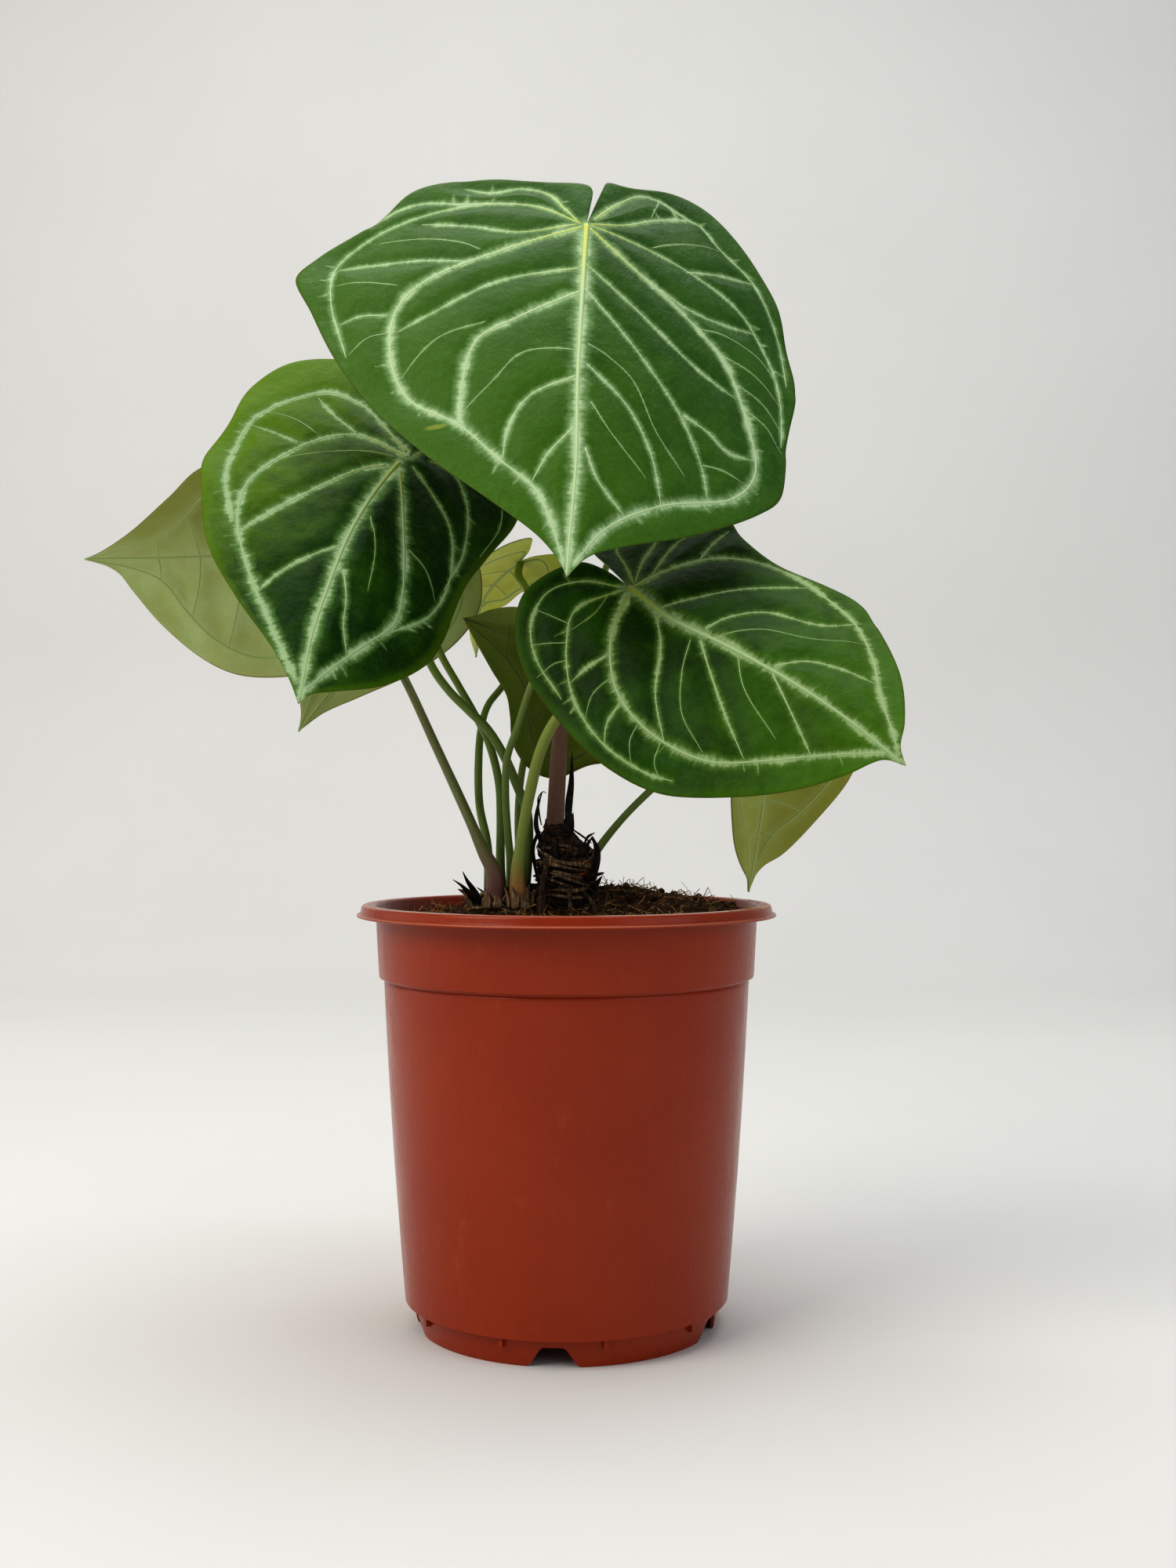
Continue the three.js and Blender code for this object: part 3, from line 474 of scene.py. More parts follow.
# Veins of the three leaves that show their faces: each one's kind, and its points in the flat blade's mm,
# from the joint out.
VEINS = {
    "tall": [
        ("midrib", [(0, 0), (-1, 50), (-2, 100), (-2, 150), (-4, 185), (-5, 204)]),
        ("main", [(-2, 2), (-40, 17), (-73, 34), (-87, 52), (-88, 83), (-78, 109), (-54, 126), (-36, 145),
                  (-19, 162), (-11, 182), (-6, 200)]),
        ("side", [(-4, -2), (-11, -13), (-19, -25), (-33, -31), (-47, -29), (-60, -34)]),
        ("side", [(-2, 0), (-26, -16), (-60, -19), (-98, -6), (-119, 15), (-120, 42), (-109, 81)]),
        ("side", [(-43, -20), (-60, -21), (-81, -25), (-93, -21), (-103, -12)]),
        ("side", [(-5, 0), (-32, 4), (-56, -3), (-80, -8)]),
        ("thin", [(-50, 16), (-60, 10), (-77, 5), (-100, 4)]),
        ("side", [(-59, 23), (-78, 20), (-100, 20), (-118, 20)]),
        ("thin", [(-88, 38), (-104, 34), (-118, 33)]),
        ("side", [(-92, 56), (-105, 55), (-114, 59)]),
        ("thin", [(-91, 68), (-99, 71), (-108, 80)]),
        ("side", [(-3, 32), (-40, 39), (-70, 57), (-86, 68)]),
        ("main", [(-2, 48), (-31, 64), (-48, 76), (-54, 105), (-54, 126)]),
        ("thin", [(-45, 66), (-66, 75), (-82, 97)]),
        ("thin", [(-2, 85), (-27, 87), (-40, 103), (-53, 119)]),
        ("side", [(-2, 100), (-23, 111), (-32, 128), (-34, 146)]),
        ("side", [(-3, 129), (-14, 143), (-21, 158)]),
        ("main", [(1, 2), (24, 19), (50, 36), (75, 60), (87, 98), (90, 122), (77, 142), (38, 160),
                  (12, 179), (-2, 199)]),
        ("side", [(2, 0), (20, 0), (54, 4), (85, 16), (100, 40), (107, 70), (105, 100)]),
        ("side", [(2, -1), (20, -11), (39, -28), (61, -41), (74, -29), (92, -16), (101, 2), (109, 25),
                  (111, 55)]),
        ("side", [(4, -6), (16, -26), (29, -42), (39, -45), (50, -42), (62, -41)]),
        ("thin", [(39, -45), (34, -26)]),
        ("thin", [(35, -2), (55, -17), (74, -27)]),
        ("side", [(54, 5), (71, -4), (93, -13)]),
        ("side", [(39, 27), (54, 32), (70, 32), (94, 26)]),
        ("thin", [(58, 43), (78, 41), (98, 48), (107, 62)]),
        ("thin", [(75, 55), (91, 60), (108, 72)]),
        ("thin", [(82, 70), (95, 77), (107, 90)]),
        ("thin", [(85, 84), (96, 92), (105, 104)]),
        ("side", [(0, 29), (28, 49), (60, 72), (80, 80)]),
        ("side", [(0, 46), (28, 76), (49, 105), (60, 130), (63, 148)]),
        ("side", [(51, 104), (64, 109), (74, 116), (88, 115)]),
        ("thin", [(61, 129), (71, 129), (82, 131)]),
        ("thin", [(2, 81), (14, 87), (24, 95), (36, 120), (50, 140)]),
        ("side", [(2, 93), (22, 110), (34, 133), (39, 159)]),
        ("thin", [(4, 115), (12, 127), (31, 148)]),
        ("side", [(2, 140), (8, 155), (21, 170)]),
    ],
    "left": [
        ("midrib", [(-3, 3), (-7, 29), (-9, 60), (-8, 92), (-6, 125), (-1, 158)]),
        ("main", [(0, -2), (-28, -12), (-43, -6), (-58, 12), (-66, 36), (-62, 60), (-47, 89), (-26, 120),
                  (-5, 149)]),
        ("thin", [(-5, 0), (-21, 1), (-40, 7), (-57, 14)]),
        ("main", [(-2, -6), (-16, -20), (-36, -38), (-55, -44), (-72, -32), (-82, -15), (-83, 10),
                  (-77, 36), (-64, 62)]),
        ("side", [(-29, -13), (-45, -25), (-58, -38)]),
        ("thin", [(-48, -8), (-62, -16), (-77, -20)]),
        ("side", [(-56, 0), (-68, -5), (-81, -9)]),
        ("main", [(-8, 7), (-19, 14), (-33, 32), (-46, 50), (-58, 68)]),
        ("side", [(-10, 67), (-20, 76), (-31, 90), (-38, 106)]),
        ("side", [(-4, 83), (2, 99), (5, 112), (11, 126)]),
        ("main", [(-1, 8), (12, 40), (24, 76), (26, 96), (18, 114), (8, 134), (0, 152)]),
        ("side", [(4, 2), (19, 11), (34, 24), (43, 54), (40, 80), (26, 102)]),
        ("side", [(10, -9), (22, -12), (35, 0), (44, 30), (42, 60)]),
        ("thin", [(19, 52), (30, 58), (40, 70)]),
        ("thin", [(-3, 46), (5, 66), (9, 89)]),
        ("thin", [(53, -14), (55, 2), (52, 26)]),
        ("side", [(2, -5), (12, -30), (28, -48), (46, -40), (53, -16)]),
    ],
    "right": [
        ("midrib", [(0, 0), (-4, 26), (-3, 60), (-3, 95), (-5, 125), (-9, 154)]),
        ("side", [(3, 0), (11, -11), (18, -22), (30, -30)]),
        ("side", [(4, 0), (18, -7), (34, -12), (52, -20)]),
        ("side", [(14, 2), (28, -2), (44, -5), (62, -2)]),
        ("side", [(37, 11), (55, 7), (67, 6)]),
        ("main", [(0, 1), (20, 5), (42, 14), (55, 28), (58, 50), (50, 85), (34, 108), (14, 127),
                  (-6, 150)]),
        ("side", [(-2, 20), (14, 28), (33, 39), (56, 60)]),
        ("side", [(-1, 44), (12, 47), (26, 57), (36, 80), (50, 92)]),
        ("thin", [(1, 53), (14, 64), (24, 84), (38, 101)]),
        ("side", [(0, 82), (11, 90), (17, 103), (20, 120)]),
        ("main", [(-4, 2), (-27, 10), (-45, 27), (-54, 52), (-52, 84), (-40, 104), (-24, 125), (-8, 147)]),
        ("side", [(-6, 20), (-18, 32), (-39, 45), (-55, 62)]),
        ("thin", [(-9, 42), (-24, 49), (-40, 61), (-50, 80)]),
        ("side", [(-7, 46), (-18, 60), (-31, 78), (-43, 97)]),
        ("thin", [(-5, 65), (-17, 78), (-29, 104)]),
        ("side", [(-4, 83), (-13, 98), (-27, 121)]),
        ("side", [(-3, -2), (-22, -15), (-38, -8), (-58, 11), (-69, 38), (-70, 63), (-67, 76)]),
        ("side", [(-2, -4), (-8, -22), (-20, -33), (-36, -31), (-50, -18), (-61, 6)]),
        ("thin", [(-8, -6), (-20, -5), (-31, -10)]),
        ("thin", [(-29, -13), (-30, -24), (-30, -33)]),
        ("thin", [(-37, -8), (-42, -16), (-46, -24)]),
        ("thin", [(-44, -3), (-50, -8), (-58, -11)]),
        ("side", [(-33, 13), (-43, 8), (-53, 5)]),
        ("thin", [(-42, 21), (-53, 19), (-63, 22)]),
        ("side", [(-50, 33), (-60, 33), (-69, 38)]),
        ("thin", [(-54, 46), (-62, 48), (-70, 54)]),
        ("thin", [(-55, 60), (-65, 64), (-69, 70)]),
    ],
}
# What each kind of vein measures in mm: its rib's radius and half its silver band's width, each at its start
# and its end, and then how silvery the band is, from 0 to 1.
VEIN_SIZES = {
    "midrib": (1.3, 0.45, 5.4, 3.2, 1.0),
    "main": (0.65, 0.3, 3.7, 3.3, 0.95),
    "side": (0.4, 0.22, 2.4, 2.2, 0.8),
    "thin": (0.22, 0.12, 1.6, 1.4, 0.35),
    "hair": (0.1, 0.03, 2.8, 0.5, 0.6),
}
BOLD = ("midrib", "main", "side")          # the kinds that the blade swells between
BLADE_THICK = 0.7                          # mm
THIN_EDGE, THINNEST = 1.5, 0.3             # the last mm before the edge, and the share of the thickness there
LOBE_SHARE = 0.26                          # the part of each edge that runs from the joint to the lobe's end
NO_BAND, NO_VEIN = -6.0, 60.0              # depth in a band and mm from a vein, where there is none near
NO_SCAR = (0, -999)
BOLD_REACH = 24                            # mm from a bold vein over which its distance is worked out
VEIN_STEP, RIB_STEP = 2.5, 2.0             # mm between the points along a vein's band and along its rib
FADE, FADE_LENGTH = 0.6, 7                 # what a side or thin band loses in depth, over its last mm
SWELL, SWELL_REACH, WAVE = 1.4, 6, 1.5     # mm that a blade swells between its veins and waves at its edge
RIB_SIDES, RIB_FLAT = 6, 0.5
STALK_SIDES, STALK_LIFT = 20, (0.13, 0.97, 0.2)


def arc(start, rate, distance):
    """How far a line goes ahead and sideways when it starts at one angle and turns by rate each mm."""
    rate = np.where(np.abs(rate) < 1e-7, 1e-7, rate)
    end = start + rate * distance
    return (np.sin(end) - np.sin(start)) / rate, (np.cos(start) - np.cos(end)) / rate


def blade_points(leaf, u, v):
    """The bent blade: joint + ahead along its heading - down + out across it - drop along its normal, where
    the midrib is an arc that slopes more and more, and each half folds down from it and goes on curling."""
    slope = np.radians(np.where(v >= 0, leaf["bend"], leaf["back"])) / leaf["length"]
    pitch, heading, roll = np.radians([leaf["pitch"], leaf["heading"], leaf["roll"]])
    ahead, down = arc(pitch, slope, v)
    forward = np.array([np.cos(heading), np.sin(heading), 0])
    aside = np.cross(UP, forward)
    lean = (pitch + slope * v)[..., None]
    normal = np.sin(lean) * forward + np.cos(lean) * UP
    across = np.cos(roll) * aside + np.sin(roll) * normal
    normal = np.cos(roll) * normal - np.sin(roll) * aside
    right = (u >= 0).astype(int)
    fold, curl = np.radians(leaf["fold"])[right], np.radians(leaf["curl"])[right] / leaf["half"]
    out, drop = arc(fold, curl, np.abs(u))
    return (np.array(leaf["joint"], float) + ahead[..., None] * forward - down[..., None] * UP
            + (np.sign(u) * out)[..., None] * across - drop[..., None] * normal)


def blade_normals(leaf, u, v):
    """Upward normals of the bent blade, from the cross product of its slopes along v and u."""
    step = 0.6
    along = blade_points(leaf, u, v + step) - blade_points(leaf, u, v - step)
    across = blade_points(leaf, u + step, v) - blade_points(leaf, u - step, v)
    normal = np.cross(along, across)
    return normal / np.linalg.norm(normal, axis=-1, keepdims=True)


def half_grid(rim, rows, spacing):
    """Flat points of half a blade, and how far each is from the edge: each row runs from the midrib out to
    the edge. Rows that end on the lobe start at the joint, and the rest further and further down the
    midrib."""
    share = np.linspace(0, 1, rows)
    rim = np.stack([sampled(column, rows) for column in rim.T], axis=1)
    rib = np.clip((share - LOBE_SHARE) / (1 - LOBE_SHARE), 0, 1)[:, None] * rim[-1]
    width = np.linalg.norm(rim - rib, axis=1)[:, None]
    out = np.linspace(0, 1, int(width.max() / spacing))[None, :]
    return rib[:, None] + out[..., None] * (rim - rib)[:, None], width * (1 - out)


def plain_veins(leaf):
    """Veins of a leaf seen only from below: a ring vein about 0.8 of the way to the edge, and side veins that
    leave the midrib at even steps and run out to it."""
    veins = [("midrib", [(0, 0), (0, leaf["length"] * 0.5), leaf["edges"][0][-1]])]
    for side, edge in zip((-1, 1), leaf["edges"]):
        rim = spline(edge, 1.0)
        rim = rim[rim[:, 1].argmin():]
        share = np.linspace(0, 1, len(rim))[:, None]
        ring = rim * (0.5 + 0.32 * np.sin(np.pi * np.clip(share * 1.1, 0, 1)) + 0.5 * share ** 4)
        picks = ring[np.linspace(0, len(ring) - 1, 9).astype(int)]
        veins.append(("main", [(side, 0), *map(tuple, picks)]))
        for start in (0.14, 0.32, 0.5, 0.68):
            foot = np.array([0, leaf["length"] * start])
            end = ring[min(len(ring) - 1, int(len(ring) * (0.32 + 0.8 * start)))]
            middle = foot + (end - foot) * (0.5, 0.35)
            veins.append(("side", [tuple(foot), tuple(middle), tuple(end)]))
    return veins


def hairs_of(veins, edges, seed):
    """Hairs: veins 2.5 to 8 mm long that leave the main and side veins every 5 to 25 mm, where the edge of
    the blade is 9 to 26 mm away, and run towards it, leaning a little along the vein."""
    rng = np.random.default_rng(seed)
    rim = np.vstack([spline(edge, 2.0) for edge in edges])
    found = []
    for kind, points in veins:
        line = spline(points, 1.0)
        at = int(len(line) * 0.25)
        while kind in ("main", "side") and at < len(line) - 8:
            foot = line[at]
            away = rim - foot
            gap = np.hypot(*away.T)
            out = away[gap.argmin()] / gap.min()
            ahead = line[at + 1] - foot
            if 9 < gap.min() < 26 and abs(out @ ahead) < 0.6:
                reach = min(rng.uniform(2.5, 8), gap.min() - 4)
                tip = foot + out * reach + ahead * rng.uniform(-0.3, 0.4) * reach
                middle = (foot + tip) / 2 + ahead * rng.uniform(-0.5, 0.5)
                found.append(("hair", [tuple(foot), tuple(middle), tuple(tip)]))
            at += rng.integers(5, 26)
    return found


def vein_field(veins, u, v):
    """For each point: its depth in the nearest silver band, which is the band's silver on the vein less the
    distance in half widths, its distance from the nearest bold vein, and where it lies along and across that
    band, with a third number that differs from band to band."""
    spot = np.stack([u, v], axis=1)
    band = np.full(len(spot), NO_BAND)
    clear = np.full(len(spot), NO_VEIN)
    streak = np.zeros((len(spot), 3))
    for number, (kind, points) in enumerate(veins):
        line = spline(points, VEIN_STEP)
        _, _, first, last, silver = VEIN_SIZES[kind]
        reach = BOLD_REACH if kind in BOLD else 4 * first
        low, high = line.min(axis=0) - reach, line.max(axis=0) + reach
        close = ((spot > low) & (spot < high)).all(axis=1).nonzero()[0]
        here = spot[close]
        near, place = np.full(len(here), 1e9), np.zeros(len(here))
        for k, (start, run) in enumerate(zip(line[:-1], np.diff(line, axis=0))):
            t = np.clip((here - start) @ run / (run @ run), 0, 1)
            gap = np.hypot(*(here - start - t[:, None] * run).T)
            closer = gap < near
            near[closer], place[closer] = gap[closer], (k + t)[closer]
        depth = silver - near / (first + (last - first) * place / (len(line) - 1))
        if kind in ("side", "thin"):
            depth -= FADE * np.clip(1 - (len(line) - 1 - place) * VEIN_STEP / FADE_LENGTH, 0, 1)
        best = depth > band[close]
        band[close[best]] = depth[best]
        own = np.full(len(here), 1.7 * number)
        streak[close[best]] = np.stack([place * VEIN_STEP, near, own], axis=1)[best]
        if kind in BOLD:
            clear[close] = np.minimum(clear[close], near)
    return band, clear, streak


def face_height(shape, veins, u, v):
    """How far the blade stands off its plain bent sheet: it swells between the bold veins by 1 less a bell of
    the distance from them, and waves slowly near its edge by the product of two sines of v."""
    clear = vein_field([vein for vein in veins if vein[0] in BOLD], u, v)[1]
    out = np.clip(np.abs(u) / shape["half"], 0, 1) ** 2
    waves = WAVE * out * np.sin(v / 11 + 2 * np.sign(u)) * np.sin(v / 29 + 1)
    return SWELL * (1 - np.exp(-(clear / SWELL_REACH) ** 2)) + waves


def ribs(name, shape, veins, face, skin):
    """The ribs on one face of a blade: flattened tubes, half sunk in it, that get thinner along each vein."""
    lines = [spline(points, RIB_STEP) for _, points in veins]
    u, v = np.vstack(lines).T
    normals = blade_normals(shape, u, v)
    height = face_height(shape, veins, u, v) + face * BLADE_THICK / 2
    paths = blade_points(shape, u, v) + normals * height[:, None]
    parts, reach, start = [], [], 0
    for (kind, _), line in zip(veins, lines):
        run = slice(start, start + len(line))
        start += len(line)
        radius = np.linspace(*VEIN_SIZES[kind][:2], len(line))
        parts.append(tube(paths[run], radius, RIB_SIDES, normals[run], RIB_FLAT))
        far = np.linalg.norm(line, axis=1) / shape["length"]
        reach.append(np.repeat(np.concatenate([far[:1], far, far[-1:]]), RIB_SIDES))
    piece(f"ribs_{name}_{'upper' if face > 0 else 'under'}", *together(parts), [skin], "leaf",
          marks={"reach": np.concatenate(reach)})


def leaf(name, spacing, upper, under, upper_rib, under_rib):
    """One leaf: a closed blade, and the ribs on both of its faces. Each half of the blade is a grid of rows
    from its midrib to its edge, once for each face, and a skirt joins the two round the edge. A scar is a
    bell 6 mm long and 1.7 mm wide that leans by a quarter."""
    shape = LEAVES[name]
    if name in VEINS:
        veins = VEINS[name] + hairs_of(VEINS[name], shape["edges"], len(name))
    else:
        veins = plain_veins(shape)
    way_u, way_v, low, high = shape["sun"]
    scar_u, scar_v = shape.get("scar", NO_SCAR)
    rims = [spline(edge, 0.5) for edge in shape["edges"]]
    rows = int(max(len(rim) for rim in rims) * 0.5 / spacing)
    points, faces, sides, marks, start = [], [], [], [], 0
    for half, rim in enumerate(rims):
        flat, margin = half_grid(rim, rows, spacing)
        columns = flat.shape[1]
        u, v = flat[..., 0].ravel(), flat[..., 1].ravel()
        band, _, streak = vein_field(veins, u, v)
        margin = margin.ravel()
        # painted light: how much of the painted lighter, yellower colour each point gets
        sun = np.clip((u * way_u + v * way_v - low) / (high - low), 0, 1)
        scar = np.exp(-((u - scar_u) / 6) ** 2 - ((v - scar_v + 0.25 * (u - scar_u)) / 1.7) ** 2)
        thick = BLADE_THICK / 2 * np.clip(margin / THIN_EDGE, THINNEST, 1)
        thick[::columns] = BLADE_THICK / 2
        middle, normal = blade_points(shape, u, v), blade_normals(shape, u, v)
        height = face_height(shape, veins, u, v)
        cells = grid_faces(rows, columns)
        for face, side in ((1, 0), (-1, 1)):
            points.append(middle + normal * (height + face * thick)[:, None])
            faces.append((cells if face * (2 * half - 1) < 0 else cells[:, ::-1]) + start)
            sides.append(np.full(len(cells), side))
            marks.append({"band": band, "streak": streak, "margin": margin, "sun": sun, "scar": scar})
            start += rows * columns
        rim_row = np.arange(rows) * columns + columns - 1
        above, below = rim_row + start - 2 * rows * columns, rim_row + start - rows * columns
        skirt = np.stack([above[:-1], above[1:], below[1:], below[:-1]], axis=1)
        faces.append(skirt[:, ::-1] if half == 0 else skirt)
        sides.append(np.zeros(rows - 1, int))
    marks = {key: np.concatenate([each[key] for each in marks]) for key in marks[0]}
    piece(f"blade_{name}", np.vstack(points), np.vstack(faces), [upper, under], "leaf", [f"leaf_{name}"],
          marks, np.concatenate(sides))
    ribs(name, shape, veins, 1, upper_rib)
    ribs(name, shape, veins, -1, under_rib)


def stalk(name, skin, slim):
    """A stalk: a round tube whose radius follows its list times slim, up to a joint a quarter thicker that
    meets the blade from below."""
    shape = LEAVES[name]
    normal = blade_normals(shape, np.zeros(1), np.zeros(1))[0]
    joint = np.array(shape["joint"], float)
    path = spline([*shape["stalk"], joint - 8 * normal, joint - 0.6 * normal], 2.0)
    share = np.linspace(0, 1, len(path))
    radius = slim * sampled(shape["radii"], len(path))
    left = (1 - share) * 2 * len(path)
    radius = radius * (1 + 0.28 * np.exp(-((left - 7) / 6) ** 2)) * (1 + 0.03 * np.sin(path[:, 2] / 13))
    points, faces = tube(path, radius, STALK_SIDES, STALK_LIFT)
    reach = np.repeat(np.concatenate([[0], share, [1]]), STALK_SIDES)
    piece(f"stem_of_{name}", points, faces, [skin], "stalk", [f"stalk_{name}"], {"reach": reach})


# ---------------------------------------------------------------- stem, sheaths and roots

# Profiles as (radius, height), like the solids' but for a slightly more pointed top of the knob. Leans are
# (height, x): how far the middle of a lump is off its axis at each height.
KNOB_AXIS, SHOOT_AXIS = (-2, 1), (-29.5, 0.5)
KNOB = [(0, 176), (9, 178), (12, 186), (12.5, 196), (12.5, 203), (12, 207), (13.5, 212), (13.5, 218),
        (12.5, 221), (12, 225), (9.8, 229.5), (6.9, 233.5), (5.3, 236.5), (4.5, 239), (0, 239.6)]
SHOOT = [(0, 180), (8, 181), (14.5, 188), (16, 196), (12, 203), (6, 206.5), (0, 207)]
KNOB_LEANS, UPRIGHT = [(198, 0), (217, 2.2), (228, -1), (239, -4)], [(0, 0), (1, 0)]
LUMP_AROUND, LUMP_STEP = 72, 0.7           # points round a lump, and mm between its rings
ORANGE_PATCH = (10, -10, 216)


def turned(profile, axis, ring_step, ring_depth, leans, seed):
    """A turned lump: radius and height from the profile, shifted sideways by its leans, plus tilted rings of
    old scars every few mm and lumps of three sizes, which fade out within 9 mm of the axis."""
    line = spline(profile, LUMP_STEP)
    line[:, 0] = np.clip(line[:, 0], 0, None)
    turn = circle(LUMP_AROUND)
    radius, height, _ = np.broadcast_arrays(line[:, :1], line[:, 1:], turn)
    shell = turned_points(radius, height, turn)
    scars = (height + 1.6 * np.cos(turn + 0.6) + 4 * noise(shell, 14, seed)) / ring_step % 1
    rough = (ring_depth * ((1 - scars) ** 2 - 0.35) + 4 * (noise(shell, 11, seed + 3) - 0.55)
             + 2 * (noise(shell, 4.5, seed + 1) - 0.5) + noise(shell, 1.8, seed + 2) - 0.5)
    grown = np.where(radius > 0.5, radius + rough * np.clip(radius / 9, 0, 1) ** 2, 0)
    lean = np.interp(height, *np.transpose(leans))
    shell = np.stack([grown * np.cos(turn) + axis[0] + lean, grown * np.sin(turn) + axis[1], height], axis=-1)
    return shell.reshape(-1, 3), grid_faces(len(line), LUMP_AROUND, around=True)


def sheath(points, width, out):
    """A dry pointed sheath: a flattened tube along the points that widens a little, narrows to its tip and
    faces outwards."""
    path = spline(points, 1.2)
    share = np.linspace(0, 1, len(path))
    radius = width / 2 * (1 - share) ** 0.7 * (0.75 + 0.6 * np.sin(np.pi * share)) + 0.15
    return tube(path, radius, 8, np.broadcast_to(np.asarray(out, float), path.shape), 0.28)


# Where each sheath of the solid part stands, and how it bends: its points, its width and which way it faces.
SHEATHS = [
    ([(11.5, -8, 211), (13.5, -9.5, 217), (14.2, -10.5, 224), (12, -10.5, 231)], 4.5, (0.5, -0.8, 0.1)),
    ([(-0.5, -7, 229), (1.5, -8.5, 235), (3.2, -8.8, 242)], 5, (0.3, -0.9, 0.1)),
    ([(0.4, 1, 235), (1, 0.5, 246), (2.2, -1, 257), (2.5, -1.5, 271)], 4.4, (0.6, -0.8, 0.1)),
    ([(-12.3, -7, 228), (-14.5, -8, 236), (-13.8, -8, 244), (-11.5, -8.5, 252)], 2.6, (-0.5, -0.8, 0.1)),
    ([(-41, -8, 197), (-45, -10, 202), (-49, -12.5, 207), (-53.5, -15, 210.5)], 2.6, (-0.3, -0.7, 0.6)),
    ([(-40, -12, 198), (-43.5, -15, 205), (-46.5, -18, 210), (-48.5, -20.5, 214.5)], 2.8, (-0.3, -0.7, 0.6)),
    ([(10.5, -4, 203), (13.5, -6, 207), (17, -8, 212)], 3.4, (0.3, -0.8, 0.5)),
]
# The points of each root, and its radius at equal steps.
ROOTS = [
    ([(-8.5, -11, 219), (-10.5, -14.5, 211), (-11.5, -16.5, 203), (-12, -18, 193), (-12, -18, 180)],
     (2, 2.6, 2.2, 1.6)),
    ([(1, -12.5, 206), (2, -15.5, 199), (3, -18, 192), (3, -18, 180)], (1.5, 1.6, 1.2)),
    ([(8, -8.5, 205), (12, -12, 199), (14, -15, 192), (14, -15, 180)], (1.4, 1.5, 1.1)),
]
# Torn threads and slivers of old sheaths that loop off the knob: their points and their radius.
WISPS = [
    ([(3, -9, 234), (8, -11, 230.5), (12, -11, 227.5)], 0.45),
    ([(10, -10, 220), (9.2, -11, 225), (11.8, -11, 230)], 0.9),
    ([(12, -10.5, 230.5), (15, -10.5, 224), (14.6, -9.5, 216), (12.5, -8, 209)], 1.0),
    ([(9, -11, 212), (14, -10, 212.5), (18, -9.5, 213.5)], 0.9),
    ([(13, -9, 212), (14.5, -10, 206), (17, -12, 198)], 0.35),
    ([(-13.5, -6, 233), (-16, -8, 225), (-15, -10, 217), (-13.5, -10, 209)], 0.9),
    ([(-12, -7, 236), (-13.2, -8, 243), (-13.4, -8, 249), (-11, -8.5, 252), (-9.5, -8.5, 251)], 0.35),
    ([(-11, -9, 233), (-4, -12, 231.5), (4, -10.5, 232)], 0.8),
    ([(11, -9, 206), (14, -10, 203), (12, -11, 200)], 0.6),
]


def husks(axis, profile, count, low, high, seed):
    """Small torn husks and strands round a lump: each starts on it, leans outwards and ends in a thin tip."""
    rng = np.random.default_rng(seed)
    radii, heights = np.transpose(profile)
    parts = []
    for _ in range(count):
        height, turn = rng.uniform(low, high), rng.uniform(0, 2 * np.pi)
        away = np.array([np.cos(turn), np.sin(turn), 0])
        side = np.cross(UP, away)
        long = rng.uniform(5, 14)
        foot = np.array([*axis, height]) + away * (np.interp(height, heights, radii) - 0.3)
        lean, sweep = rng.uniform(0.05, 0.5), rng.uniform(-0.5, 0.5)
        middle = foot + long * 0.5 * (UP + 0.5 * lean * away + sweep * side)
        tip = foot + long * (0.8 * UP + lean * away + 1.5 * sweep * side)
        parts.append(sheath([foot, middle, tip], rng.uniform(1.2, 5.5), away))
    return parts


def wrappings(axis, profile, leans, count, low, high, stand, seed):
    """Old leaf bases worn to strands that wrap a lump: each follows it part of the way round, tilted, and
    stands off it by between the two mm of stand, less near the top of the knob."""
    rng = np.random.default_rng(seed)
    radii, heights = np.transpose(profile)
    rise = np.linspace(0, 1, 9)
    parts = []
    for _ in range(count):
        start, sweep = rng.uniform(0, 2 * np.pi), rng.uniform(0.6, 2.2)
        turn = start + np.linspace(0, sweep, 9)
        height = rng.uniform(low, high) + rng.uniform(-5, 5) * rise + 1.6 * np.sin(turn * 2)
        radius = np.interp(height, heights, radii) + rng.uniform(*stand) - 0.35 * np.clip(height - 222, 0, 9)
        lean = np.interp(height, *np.transpose(leans))
        x, y = axis[0] + lean + radius * np.cos(turn), axis[1] + radius * np.sin(turn)
        path = spline(np.stack([x, y, height], axis=1), 1.6)
        share = np.linspace(0, 1, len(path))
        away = path - (*axis, 0)
        away[:, 2] = 0
        size = rng.uniform(0.3, 1.4) * np.sin(np.pi * np.clip(share, 0.04, 0.96)) ** 0.6
        parts.append(tube(path, size, 6, away, 0.4))
    return parts


def foot_scales(stalk_names, seed):
    """Papery scales low round the foot of each stalk, seven to a stalk, that end in a torn tip."""
    rng = np.random.default_rng(seed)
    parts = []
    for stalk_name in stalk_names:
        foot = np.array(LEAVES[stalk_name]["stalk"][0], float)
        radius = LEAVES[stalk_name]["radii"][0]
        for turn in circle(7) + rng.uniform(0, 1):
            away = np.array([np.cos(turn), np.sin(turn), 0])
            base = foot + away * (radius + 0.6) - 3 * UP
            long = rng.uniform(5, 11)
            middle = base + away * rng.uniform(-0.2, 1.2) + long * 0.6 * UP
            tip = base + away * rng.uniform(-0.6, 3.5) + (rng.uniform(-2, 2), rng.uniform(-2, 2), long)
            parts.append(sheath([base, middle, tip], rng.uniform(3, 6), away))
    return parts


def wisp(points, radius):
    """A torn thread: a flattened tube that is thickest in its middle and thinnest at its end."""
    path = spline(points, 0.8)
    taper = np.sin(np.pi * np.linspace(0.12, 1, len(path))) ** 0.5
    return tube(path, radius * taper + 0.08, 6, (0.2, -0.9, 0.3), 0.5)


